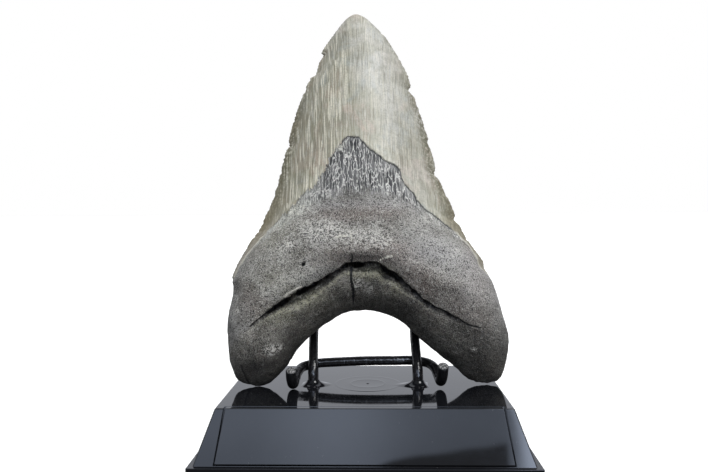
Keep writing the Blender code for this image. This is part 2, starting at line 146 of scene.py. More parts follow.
# The broken ledge under the crack: x, how deep it lies, and how far down it reaches.
CRACK_LEDGE = [
    (-44, 0, 1), (-38, 0.7, 1.2), (-33, 1.4, 2.4), (-28, 1.7, 3.4), (-23, 1.7, 3.9), (-17, 1.5, 3.5), (-11, 1.1, 2.4),
    (-6, 1, 3), (0, 1.4, 4.4), (5, 1.3, 4.4), (9, 0.8, 2.6), (14, 0.45, 1.7), (22, 0.35, 1.3), (33, 0, 1),
]

CROWN_LINGUAL = 14.0
CROWN_LABIAL = 5.0
ROOT_LINGUAL = 15.5
ROOT_TORUS = 4.2
ROOT_LABIAL = 8.5
CRACK_STEP = 0.9
CRACK_POINT = 3
SUMMIT = 150.0

TOOTH_LEAN = math.radians(13)
TOOTH_YAW = math.radians(2.5)
TOOTH_FOOT = (2.2 * MM, -1.1 * MM)
TOUCH_DOWN = 0.27 * MM
TOUCH_REACH = 9 * MM

FRONT_COLUMNS = 176  # steps of the mesh across the tooth; its back has half as many
TOOTH_ROWS = 350
SERRATION = 3  # rows from one serration to the next
SERRATION_DEPTH = 0.4
CHIP_CRISPNESS = 0.8

# ---- Helpers --------------------------------------------------------------------------------------------------
def smooth_step(low, high, value):
    t = np.clip((value - low) / (high - low), 0, 1)
    return t * t * (3 - 2 * t)


def smooth_curve(points, steps=12):
    """A smooth curve through the points, as an array with that many steps between each two."""
    p = np.array(points, float)
    length = np.linalg.norm(np.diff(p, axis=0), axis=1)[:, None]
    slope = np.diff(p, axis=0) / length
    inner = (slope[:-1] * length[1:] + slope[1:] * length[:-1]) / (length[:-1] + length[1:])
    tangent = np.vstack([slope[:1], inner, slope[-1:]])
    t = np.linspace(0, 1, steps, endpoint=False)[:, None]
    leaving, arriving = tangent[:-1, None] * length[:, None], tangent[1:, None] * length[:, None]
    curve = (2 * t**3 - 3 * t**2 + 1) * p[:-1, None] + (t**3 - 2 * t**2 + t) * leaving
    curve = curve + (3 * t**2 - 2 * t**3) * p[1:, None] + (t**3 - t**2) * arriving
    return np.vstack([curve.reshape(-1, p.shape[1]), p[-1:]])


def by_length(curve, share):
    """Points at these shares of the curve's length."""
    lengths = np.concatenate([[0], np.cumsum(np.linalg.norm(np.diff(curve, axis=0), axis=1))])
    wanted = np.asarray(share) * lengths[-1]
    return np.stack([np.interp(wanted, lengths, curve[:, k]) for k in range(curve.shape[1])], axis=-1)


def by_count(curve, share):
    """Points at these shares of the curve's count of steps."""
    counts = np.linspace(0, 1, len(curve))
    return np.stack([np.interp(share, counts, curve[:, k]) for k in range(curve.shape[1])], axis=-1)


def evened(curve, reach=30):
    """The curve with its chips and bumps smoothed away, its ends kept."""
    padded = np.vstack([2 * curve[0] - curve[reach:0:-1], curve, 2 * curve[-1] - curve[-2 : -reach - 2 : -1]])
    window = np.hanning(2 * reach + 3)[1:-1]
    window = window / window.sum()
    return np.stack([np.convolve(padded[:, k], window, mode="valid") for k in range(curve.shape[1])], axis=-1)


def nearest_on(x, z, curve):
    """For each point, its distance from a flat polyline (+ above it) and how far along that is, from 0 to 1."""
    nearest, share = np.full(np.shape(x), np.inf), np.zeros(np.shape(x))
    for k, ((ax, az), (bx, bz)) in enumerate(zip(curve[:-1], curve[1:])):
        run, rise = bx - ax, bz - az
        t = np.clip(((x - ax) * run + (z - az) * rise) / (run * run + rise * rise), 0, 1)
        gap = np.hypot(x - ax - t * run, z - az - t * rise)
        share = np.where(gap < nearest, (k + t) / (len(curve) - 1), share)
        nearest = np.minimum(nearest, gap)
    return nearest, share


def above(x, z, curve):
    """1 above a curve that runs from left to right, -1 below it."""
    return np.where(z > np.interp(x, curve[:, 0], curve[:, 1]), 1.0, -1.0)


def mix(share, a, b):
    return (1 - share) * a + share * b


def rim(distance, reach, power):
    """0 at an edge, rising steeply and rounding over to 1 at that reach from it."""
    t = 1 - np.clip(distance / reach, 0, 1)
    return (1 - t**power) ** (1 / power)


def grain(places, size, seed):
    """Smooth random values from -1 to 1, in lumps of about this size (one number, or one for each axis)."""
    scaled = places / np.asarray(size, float) + 31.7 * seed
    cell = np.floor(scaled).astype(np.int64)
    t = scaled - cell
    t = t * t * (3 - 2 * t)
    total = 0.0
    for corner in itertools.product((0, 1), repeat=3):
        spot = cell + corner
        mixed = (spot[:, 0] * 73856093) ^ (spot[:, 1] * 19349663) ^ (spot[:, 2] * 83492791)
        mixed = (((mixed ^ (mixed >> 13)) & 0x7FFFFFFF) * 1274126177) & 0xFFFFFF
        total = total + (mixed / 0x7FFFFF - 1) * np.where(corner, t, 1 - t).prod(axis=1)
    return total


def spots(x, z, places):
    """The sum of soft round spots, each given as x, z, half width, half height and strength."""
    return sum(s * np.exp(-(((x - cx) / rx) ** 2) - ((z - cz) / rz) ** 2) for cx, cz, rx, rz, s in places)


# ---- The tooth's form -----------------------------------------------------------------------------------------
def straight_runs(points, steps=12):
    """The points joined by straight runs, with as many places between each two as smooth_curve makes."""
    p = np.array(points, float)
    return by_count(p, np.linspace(0, 1, (len(p) - 1) * steps + 1))


def lengthened(curve, reach=14.0):
    """The curve with a straight stretch of this length added at both of its ends."""
    first, last = curve[0] - curve[3], curve[-1] - curve[-4]
    before = curve[0] + reach * first / np.linalg.norm(first)
    after = curve[-1] + reach * last / np.linalg.norm(last)
    return np.vstack([before, curve, after])


LEFT_CURVE, RIGHT_CURVE, ARCH_CURVE, TIP_CURVE, CRACK_CURVE, SIDE_CRACK_CURVE, CREST_CURVE = (
    smooth_curve(points) for points in (LEFT_EDGE, RIGHT_EDGE, ARCH, TIP, ROOT_CRACK, SIDE_CRACK, ROOT_CREST)
)
LINGUAL_CURVE, LABIAL_CURVE, BAND_CURVE = (
    smooth_curve(points, steps=6) for points in (LINGUAL_ENAMEL, LABIAL_ENAMEL, BAND_FOOT)
)
CRACK_ROW = CRACK_POINT / (len(LEFT_EDGE) - 1)
EVEN_LEFT, EVEN_RIGHT = evened(LEFT_CURVE), evened(RIGHT_CURVE)
SIDES = np.vstack([EVEN_LEFT, TIP_CURVE, EVEN_RIGHT[::-1]])[::4]


def flat_patch(u, v):
    """The place in the tooth's even outline of u (-1 left edge, 1 right edge) and v (0 arch, 1 tip)."""
    s = (np.asarray(u) + 1) / 2
    v = np.asarray(v)
    low, high = by_length(ARCH_CURVE, s), by_length(TIP_CURVE, s)
    left, right = by_count(EVEN_LEFT, v), by_count(EVEN_RIGHT, v)
    s, v = s[..., None], v[..., None]
    foot = (1 - s) * ARCH_CURVE[0] + s * ARCH_CURVE[-1]
    head = (1 - s) * TIP_CURVE[0] + s * TIP_CURVE[-1]
    place = (1 - v) * (low - foot) + v * (high - head) + (1 - s) * left + s * right
    return place[..., 0], place[..., 1]


def crisp_chips(points):
    """An edge's curve, with sharper corners on the crown than smooth_curve leaves."""
    runs = straight_runs(points)
    return mix(CHIP_CRISPNESS * smooth_step(40, 46, runs[:, 1:]), smooth_curve(points), runs)


def chip_edges(x, z, u, v):
    """Moves what is near an edge out to its true line, with the chips."""
    near = np.abs(u) ** 10
    left, right = by_count(crisp_chips(LEFT_EDGE) - EVEN_LEFT, v), by_count(crisp_chips(RIGHT_EDGE) - EVEN_RIGHT, v)
    shift = np.where(u[..., None] < 0, left, right) * near[..., None]
    return x + shift[..., 0], z + shift[..., 1]


def follow_crack(x, z, v):
    """Shifts the rows near the crack so that one row runs along it."""
    u = np.linspace(-0.97, 0.97, 60)
    row_x, row_z = flat_patch(u, np.full_like(u, CRACK_ROW))
    shift = np.interp(row_x, CRACK_CURVE[:, 0], CRACK_CURVE[:, 1]) - row_z
    inside = smooth_step(-51, -43, row_x) * (1 - smooth_step(33, 45, row_x))
    return z + np.interp(x, row_x, shift * inside) * np.exp(-(((v - CRACK_ROW) / 0.05) ** 2))


def lingual_form(x, z, u):
    """How far the front surface stands out from the plane of the edges, without its fine relief."""
    enamel = np.interp(x, LINGUAL_CURVE[:, 0], LINGUAL_CURVE[:, 1])
    band = 4 + 22 * np.clip(1 - np.abs(x) / 46, 0, 1)
    rootward = 1 - smooth_step(enamel - band, enamel + 5, z)
    crown = CROWN_LINGUAL * np.sqrt(np.clip(1 - (z / SUMMIT) ** 3, 0, 1)) * (1 - u * u) ** 1.1
    from_arch, from_side = nearest_on(x, z, ARCH_CURVE)[0], nearest_on(x, z, SIDES)[0]
    crest_fall = 1 - 0.18 * smooth_step(19, 44, from_arch)
    root = (ROOT_LINGUAL + ROOT_TORUS * np.exp(-((x / 24) ** 2))) * crest_fall
    root = root * rim(from_arch, 18, 1.7) * rim(from_side, 14, 1.9)
    below = 1 - smooth_step(-0.6, 0.6, z - np.interp(x, CRACK_CURVE[:, 0], CRACK_CURVE[:, 1]))
    along = smooth_step(-47, -36, x) * (1 - smooth_step(26, 38, x))
    step = CRACK_STEP * below * along * smooth_step(3, 12, from_arch)
    return crown * (1 - rootward) + (root - step) * rootward


def labial_form(x, z, u):
    """How far the back surface stands out from the plane of the edges, without its fine relief."""
    enamel = np.interp(x, LABIAL_CURVE[:, 0], LABIAL_CURVE[:, 1])
    rootward = 1 - smooth_step(enamel - 11, enamel + 3, z)
    crown = CROWN_LABIAL * np.sqrt(np.clip(1 - (z / SUMMIT) ** 3, 0, 1)) * (1 - u * u) ** 1.1
    from_arch, from_side = nearest_on(x, z, ARCH_CURVE)[0], nearest_on(x, z, SIDES)[0]
    root = ROOT_LABIAL * rim(from_arch, 11, 1.9) * rim(from_side, 11, 1.9)
    root = root * (0.5 + 0.5 * smooth_step(0, 15, z))
    return crown * (1 - rootward) + root * rootward


def row_places():
    """The v of each row of the mesh: evenly spaced along the edges, and closer together at the crack."""
    v = np.linspace(0, 1, 4000)
    left, right = by_count(LEFT_CURVE, v), by_count(RIGHT_CURVE, v)
    step = (np.linalg.norm(np.diff(left, axis=0), axis=1) + np.linalg.norm(np.diff(right, axis=0), axis=1)) / 2
    middle = (v[1:] + v[:-1]) / 2
    weight = step * (1 + 1.6 * np.exp(-(((middle - CRACK_ROW) / 0.012) ** 2)))
    total = np.concatenate([[0], np.cumsum(weight)])
    return np.interp(np.linspace(0, total[-1], TOOTH_ROWS + 1), total, v)


def tooth_grid():
    """u and v of every vertex, which of them are on the back, and the faces of a closed shell of two grids.

    The back's grid has half the columns, and shares its outer vertices with the front's.
    """
    rows, columns = TOOTH_ROWS + 1, FRONT_COLUMNS + 1
    s = np.linspace(-1, 1, columns)
    u_line = 0.5 * s + 0.5 * np.sin(s * math.pi / 2)
    v_line = row_places()
    front = np.arange(rows * columns).reshape(rows, columns)
    back = front[:, ::2].copy()
    inner = back[1:-1, 1:-1]
    back[1:-1, 1:-1] = rows * columns + np.arange(inner.size).reshape(inner.shape)

    u_back, v_back = np.meshgrid(u_line[::2][1:-1], v_line[1:-1])
    u_front, v_front = np.meshgrid(u_line, v_line)
    u = np.concatenate([u_front.ravel(), u_back.ravel()])
    v = np.concatenate([v_front.ravel(), v_back.ravel()])
    is_back = np.arange(len(u)) >= rows * columns

    def quads(grid):
        corners = grid[:-1, :-1], grid[:-1, 1:], grid[1:, 1:], grid[1:, :-1]
        return np.stack([c.ravel() for c in corners], axis=1).tolist()

    faces = quads(front) + [face[::-1] for face in quads(back[1:-1])]
    for k in range(back.shape[1] - 1):
        low, high = front[0, 2 * k : 2 * k + 3].tolist(), front[-1, 2 * k : 2 * k + 3].tolist()
        faces.append([*low, int(back[1, k + 1]), int(back[1, k])][::-1])
        faces.append([int(back[-2, k]), int(back[-2, k + 1]), *high[::-1]][::-1])
    return u, v, is_back, faces


def edge_wear(x, z, u, v):
    """Serrations and small nicks of the cutting edges, as a move inwards in mm."""
    along = np.rint(np.interp(v, row_places(), np.arange(TOOTH_ROWS + 1)))
    side = np.where(u < 0, 0.0, 400.0)
    places = np.stack([side, z * 0, z], axis=1)
    worn = 0.55 + 0.45 * grain(places, 9, 3)
    tooth = np.abs((along % SERRATION) - SERRATION / 2) / (SERRATION / 2)
    nick = np.clip(grain(places, 2.2, 5) - 0.4, 0, 1) * 1.7 + np.clip(grain(places, 0.9, 6) - 0.15, 0, 1) * 0.8
    on_crown = smooth_step(40, 46, z) * (1 - 0.6 * smooth_step(134, 142, z))
    return (SERRATION_DEPTH * (tooth - 0.5) * worn + nick) * on_crown * np.abs(u) ** 26


def surface_marks(x, z, is_back):
    """The distances, in mm, that steer both the fine relief and the finish of the tooth."""
    lingual, labial = nearest_on(x, z, LINGUAL_CURVE)[0], nearest_on(x, z, LABIAL_CURVE)[0]
    enamel = np.where(is_back, labial * above(x, z, LABIAL_CURVE), lingual * above(x, z, LINGUAL_CURVE))
    places = np.stack([x, z * 0, z], axis=1)
    enamel = enamel + 0.45 * grain(places, (1.0, 1, 3.0), 11) + 0.3 * grain(places, 2.6, 12)
    band = nearest_on(x, z, BAND_CURVE)[0] * above(x, z, BAND_CURVE)
    band = np.where(is_back, -30, band + 1.3 * grain(places, (1.3, 1, 5), 13))

    jag = 0.3 * grain(places, 0.9, 14) + 0.35 * grain(places, 2.6, 15)
    line = lengthened(CRACK_CURVE)
    gap = nearest_on(x, z + jag, line)[0] * above(x, z + jag, line)
    share = nearest_on(x, z + jag, CRACK_CURVE)[1]
    widths = smooth_curve(np.stack([np.arange(len(CRACK_HALF_WIDTHS)), CRACK_HALF_WIDTHS], axis=1))[:, 1]
    half = np.interp(share, np.linspace(0, 1, len(widths)), widths)
    half = half * (1 + 0.5 * grain(places, 1.1, 16) + 0.25 * grain(places, 2.9, 18))
    half = np.where((share < 1e-3) | (share > 1 - 1e-3), -1, half)
    wander = 0.25 * grain(places, 1.5, 17)
    side_line = lengthened(SIDE_CRACK_CURVE)[::-1]
    right_of = np.where(x + wander > np.interp(z, side_line[:, 1], side_line[:, 0]), 1, -1)
    split = nearest_on(x + wander, z, side_line)[0] * right_of
    side_share = nearest_on(x + wander, z, SIDE_CRACK_CURVE)[1]
    split_half = SIDE_CRACK_HALF_WIDTH * (1 - 0.6 * np.abs(2 * side_share - 1) ** 3) * (1 + 0.3 * grain(places, 1, 19))
    split_half = np.where((side_share < 1e-3) | (side_share > 1 - 1e-3), -1, split_half)
    hole = np.hypot(x - FORAMEN[0], z - FORAMEN[1]) / FORAMEN_RADIUS
    flakes, cracklets = (np.min([nearest_on(x, z + jag, np.array(line))[0] for line in lines], axis=0)
                         for lines in (FLAKES, CRACKLETS))
    ledge_x, ledge_depth, ledge_reach = np.transpose(CRACK_LEDGE)
    ledge_reach = np.interp(x, ledge_x, ledge_reach) * (1 + 0.3 * grain(places, 2.6, 44) + 0.15 * grain(places, 1, 47))
    return {
        "enamel": enamel, "band": band, "half": half, "gap": np.where(is_back, 30, gap),
        "split": np.where(is_back, 30, split), "split_half": split_half,
        "hole": np.where(is_back, 30, hole), "flake": np.where(is_back, 30, flakes),
        "cracklet": np.where(is_back, 30, cracklets), "under": np.where(is_back, 30, -gap / ledge_reach),
        "ledge": np.interp(x, ledge_x, ledge_depth),
    }


def wrinkles(x, z):
    """The band's upright wrinkles, from 0 in a furrow to 1 on a ridge. They fan out on their way down."""
    fan = x / (1 + 0.02 * np.clip(88 - z, 0, 60))
    places = np.stack([fan * 1.45, z * 0, z], axis=1)
    places[:, 0] += 0.5 * grain(places, (6, 1, 7), 21)
    broad = 1 - np.abs(grain(places, (1.05, 1, 11), 22))
    fine = 1 - np.abs(grain(places, (0.6, 1, 6), 23))
    return np.clip((0.62 * broad**2.2 + 0.38 * fine**2.2 - 0.2) / 0.7, 0, 1)


def fine_relief(x, y, z, marks, is_back):
    """How far the surface stands out from its plain form, in mm, by where it is."""
    places = np.stack([x, y, z], axis=1)
    on_crown = smooth_step(-0.25, 0.35, marks["enamel"])
    in_band = (1 - on_crown) * smooth_step(-1.5, 2.5, marks["band"])
    on_root = (1 - on_crown) * (1 - in_band)

    crown = 0.1 * grain(places, 13, 31) + 0.035 * grain(places, (1.4, 9, 26), 32) + 0.012 * grain(places, (0.7, 5, 9), 33)
    band = -0.42 + 0.5 * wrinkles(x, z) + 0.12 * grain(places, 1.6, 34)
    root = -0.3 + 0.5 * grain(places, 15, 35) + 0.28 * grain(places, 6, 36) + 0.15 * grain(places, 2.4, 37)
    root = root + 0.11 * grain(places, 1.0, 38) - 0.5 * np.clip(grain(places, 1.3, 39) - 0.55, 0, 1)
    relief = 0.12 * on_crown + crown * on_crown + band * in_band + root * on_root

    crest_gap, _ = nearest_on(x, z, CREST_CURVE)
    crest = 0.9 * np.exp(-((crest_gap / 3.4) ** 2)) * smooth_step(-46, -30, x) * (1 - smooth_step(44, 50, x))
    gap, half = marks["gap"], marks["half"]
    under = marks["under"]
    ledge = marks["ledge"] * (1 - smooth_step(0.55, 1.05, under)) * smooth_step(-0.1, 0.05, under)
    ledge = ledge * (1 + 0.3 * grain(places, 1.6, 45))
    rubble = 0.55 * grain(places, 0.9, 46) * np.exp(-(((under - 0.45) / 0.4) ** 2)) * smooth_step(0.2, 1, marks["ledge"])
    valley = 0.25 * np.exp(-((gap / 2.4) ** 2)) * np.clip(half / 0.5, 0, 1.3)
    chasm = (0.6 + 1.9 * np.clip(half, 0, 2)) * (1 - smooth_step(-0.35, 0.2, np.abs(gap) - half))
    split = 0.7 * (1 - smooth_step(-0.2, 0.3, np.abs(marks["split"]) - marks["split_half"]))
    hole = 1.8 * (1 - smooth_step(0.35, 1.15, marks["hole"])) - 0.12 * np.exp(-((marks["hole"] - 1.5) ** 2) / 0.15)
    flake = 0.22 * (1 - smooth_step(0.1, 0.45, marks["flake"])) - 0.4 * (1 - smooth_step(0.1, 0.4, marks["cracklet"]))
    front = crest - ledge + rubble - valley - chasm - split - hole + flake
    return relief + np.where(is_back, 0, front)


def tooth_mesh():
    """The tooth as one closed shell in its own frame, in mm, with what its finish is worked out from."""
    u, v, is_back, faces = tooth_grid()
    x, z = flat_patch(u, v)
    on_edge = (np.abs(u) > 1 - 1e-6) | (v < 1e-9) | (v > 1 - 1e-9)
    z = np.where(on_edge, z, follow_crack(x, z, v))
    depth = np.where(is_back, labial_form(x, z, u), -lingual_form(x, z, u))
    depth = np.where(on_edge, 0, depth)
    marks = surface_marks(x, z, is_back)
    chipped_x, chipped_z = chip_edges(x, z, u, v)
    chipped_x = chipped_x - np.sign(u) * edge_wear(x, z, u, v)

    mesh = bpy.data.meshes.new("megalodon_tooth_fossil")
    mesh.from_pydata(np.stack([chipped_x, depth, chipped_z], axis=1).tolist(), [], faces)
    mesh.shade_smooth()
    normals = np.empty(len(u) * 3, np.float32)
    mesh.vertices.foreach_get("normal", normals)
    normals = normals.reshape(-1, 3)
    relief = fine_relief(x, depth, z, marks, is_back)
    relief = np.where(on_edge & (z > 40), 0, relief)
    places = np.stack([chipped_x, depth, chipped_z], axis=1) + normals * relief[:, None]

    mesh.vertices.foreach_set("co", places.astype(np.float32).ravel())
    mesh.update()
    store(mesh, "place", np.stack([x, depth, z], axis=1))
    store(mesh, "enamel", marks["enamel"])
    store(mesh, "band", marks["band"])
    for name in ("gap", "half", "split", "split_half", "hole", "flake", "cracklet", "under", "ledge"):
        store(mesh, name, np.clip(marks[name], -30, 30))
    store(mesh, "wrinkle", wrinkles(x, z))
    store(mesh, "edge", np.abs(u))
    front = ~is_back
    for name, places in TINTS_AND_PAINTED_LIGHT.items():
        store(mesh, name, np.clip(spots(x, z, places) * (front | (name == "olive")), 0, 1))
    return mesh


def store(mesh, name, values):
    """Keeps one number or one vector for each vertex, for the finish to read."""
    kind, field = ("FLOAT_VECTOR", "vector") if values.ndim == 2 else ("FLOAT", "value")
    made = mesh.attributes.new(name, kind, "POINT")
    made.data.foreach_set(field, values.astype(np.float32).ravel())


# Where the fossil's tints, and its painted light and painted shade, lie on the tooth's front: x, z, half width, half
# height (mm) and strength.
TINTS_AND_PAINTED_LIGHT = {
    "olive": [
        (-33, 72, 9, 22, 0.9), (-26, 104, 8, 16, 0.7), (17, 120, 3, 6, 0.3), (-40, 58, 7, 9, 0.8),
        (34, 60, 5, 9, 0.7), (-15, 124, 6, 7, 0.3), (-24, 30, 7, 3.5, 0.9), (-2, 38.8, 4.5, 2.2, 0.9),
        (4, 39, 4, 2.2, 0.9), (-33, 24, 6, 3, 0.7), (-36, 36, 9, 4, 0.4), (9, 33, 3, 3, 0.4),
    ],
    "rust": [
        (-8, 42.6, 12, 1.8, 0.5), (6, 43, 6, 2, 0.4), (-40, 27, 5, 4, 0.5), (16, 24, 8, 4, 0.6), (36, 22, 7, 5, 0.5),
        (-42, 58, 4, 9, 0.8), (38, 52, 4, 8, 0.8), (-27, 100, 4, 4, 0.7), (19, 108, 2.5, 4, 0.9), (33, 62, 3, 6, 0.6),
        (-12, 59.5, 10, 3, 1.0), (4, 60.5, 9, 3, 0.9), (14, 38, 9, 5, 0.8), (-6, 46, 14, 3.5, 0.8),
        (8, 47, 7, 3.5, 0.9), (40, 38, 7, 8, 0.4), (30, 28, 12, 9, 0.45), (-44, 31, 4, 5, 0.5), (18, 33, 5, 4, 0.6),
    ],
    "pale": [
        (-13, 52.5, 13, 5.5, 0.6), (4, 50.5, 9, 5, 0.55), (-30, 49, 4, 2.5, 0.8), (-11.1, 86.7, 2.2, 1.6, 1.0),
        (-4.7, 35, 1.8, 2.1, 1.5), (-0.8, 33.1, 1.3, 1.2, 1.4), (-49.3, 30.1, 1.3, 1.7, 1.4), (-48.2, 26, 1, 1, 1.2), (-33.4, 13.3, 3, 1.5, 0.9),
        (-36, 11.5, 2.5, 1.5, 0.9), (31, 46, 2.5, 2.5, 0.7), (34, 36.7, 1, 1, 0.8), (-27, 63, 6, 3, 0.8),
        (-35, 58, 5, 3, 0.6), (22, 60, 5, 3, 0.5), (36, 12, 1, 0.8, 0.8), (-20, 55, 8, 5, 0.4), (-41, 41, 5, 3, 0.3),
    ],
    # Painted light: the crown's sheen streak and lighter tip, and the root lighter on its right and above its crest,
    # where the key light falls.
    "light": [
        (-44, 17, 7, 7, 0.35), (-1, 132, 9, 8, 0.35), (4, 120, 6, 12, 0.35),
        (-13, 63.5, 9, 2.2, 0.65), (5, 63.5, 9, 2.2, 0.65), (-3, 33, 12, 5, 0.4), (-30, 22, 8, 6, 0.2), (36, 31, 8, 6, 0.5),
        (9, 112, 5.5, 26, 1.0), (10, 78, 8, 16, 0.35), (-3, 137, 7, 8, 0.5), (-2, 119, 5, 9, 0.45),
        (20, 103, 4.5, 9, 0.8), (24, 46, 14, 6, 1.0), (38, 40, 7, 7, 0.8), (20, 74, 6, 14, 0.55), (46, 30, 4, 9, 0.6),
    ],
    # Painted shade with some dark tone: the lobes' undersides, the root below its crest and just above the crack, and
    # the band's middle.
    "dark": [
        (-4, 76, 11, 9, 0.9), (44, 12, 10, 12, 0.95), (-39, 3.5, 13, 7, 1.25), (-28, 13, 6, 9, 1.0), (20, 27, 12, 6, 0.5),
        (-14, 44, 9, 2.5, 0.5), (33, 15, 9, 9, 0.7), (-5, 44, 8, 2.2, 0.6), (3, 43.6, 7, 2.6, 0.75),
    ],
}


# ---- Finishes -------------------------------------------------------------------------------------------------
class Finish:
    """A material and the short words it is written with. Each word returns the socket that it makes."""

    def __init__(self, name):
        self.material = bpy.data.materials.new(name)
        self.material.use_nodes = True
        self.tree = self.material.node_tree
        self.shader = self.tree.nodes["Principled BSDF"]

    def add(self, kind, inputs=(), output=0, **settings):
        made = self.tree.nodes.new(kind)
        for name, value in settings.items():
            setattr(made, name, value)
        for key, value in dict(inputs).items():
            self.feed(made.inputs[key], value)
        return made.outputs[output]

    def feed(self, socket, value):
        if isinstance(value, bpy.types.NodeSocket):
            self.tree.links.new(value, socket)
        elif isinstance(value, tuple) and len(value) == 3 and socket.type == "RGBA":
            socket.default_value = (*value, 1)
        else:
            socket.default_value = value

    def attribute(self, name, vector=False):
        return self.add("ShaderNodeAttribute", output="Vector" if vector else "Fac", attribute_name=name)

    def object_place(self):
        return self.add("ShaderNodeTexCoord", output="Object")

    def axis(self, place, letter):
        return self.add("ShaderNodeSeparateXYZ", {0: place}, output=letter)

    def drift(self, place, size, reach):
        """A shift of up to about this reach each way, the same for what lies within this size."""
        noise = self.add("ShaderNodeTexNoise", {"Vector": place, "Scale": 1 / size, "Detail": 1.0}, output="Color")
        centred = self.add("ShaderNodeVectorMath", {0: noise, 1: (0.5, 0.5, 0.5)}, operation="SUBTRACT")
        return self.add("ShaderNodeVectorMath", {0: centred, 1: (2 * reach,) * 3}, operation="MULTIPLY")

    def stretched(self, place, sizes):
        """The place measured in these sizes along x, y and z."""
        return self.add("ShaderNodeVectorMath", {0: place, 1: tuple(1 / s for s in sizes)}, operation="MULTIPLY")

    def noise(self, place, size=1.0, detail=2.0, roughness=0.5, distortion=0.0):
        inputs = {"Vector": place, "Scale": 1 / size, "Detail": detail, "Roughness": roughness, "Distortion": distortion}
        return self.add("ShaderNodeTexNoise", inputs, output=0)

    def cells(self, place, size, feature="F1"):
        return self.add("ShaderNodeTexVoronoi", {"Vector": place, "Scale": 1 / size}, output=0, feature=feature)

    def math(self, operation, a, b=0.0, clamp=False):
        return self.add("ShaderNodeMath", {0: a, 1: b}, operation=operation, use_clamp=clamp)

    def ranged(self, value, low, high, to_low=0.0, to_high=1.0):
        """The value's way from low to high, eased, as a number from to_low to to_high."""
        inputs = {"Value": value, "From Min": low, "From Max": high, "To Min": to_low, "To Max": to_high}
        return self.add("ShaderNodeMapRange", inputs, interpolation_type="SMOOTHSTEP")

    def mix(self, share, a, b, blend="MIX"):
        return self.add("ShaderNodeMix", {0: share, 6: a, 7: b}, output=2, data_type="RGBA", blend_type=blend)

    def bump(self, height, distance, strength=1.0, normal=None):
        inputs = {"Height": height, "Distance": distance, "Strength": strength}
        if normal is not None:
            inputs["Normal"] = normal
        return self.add("ShaderNodeBump", inputs)

    def done(self, **inputs):
        for name, value in inputs.items():
            self.feed(self.shader.inputs[name.replace("_", " ").title().replace("Ior", "IOR")], value)
        return self.material


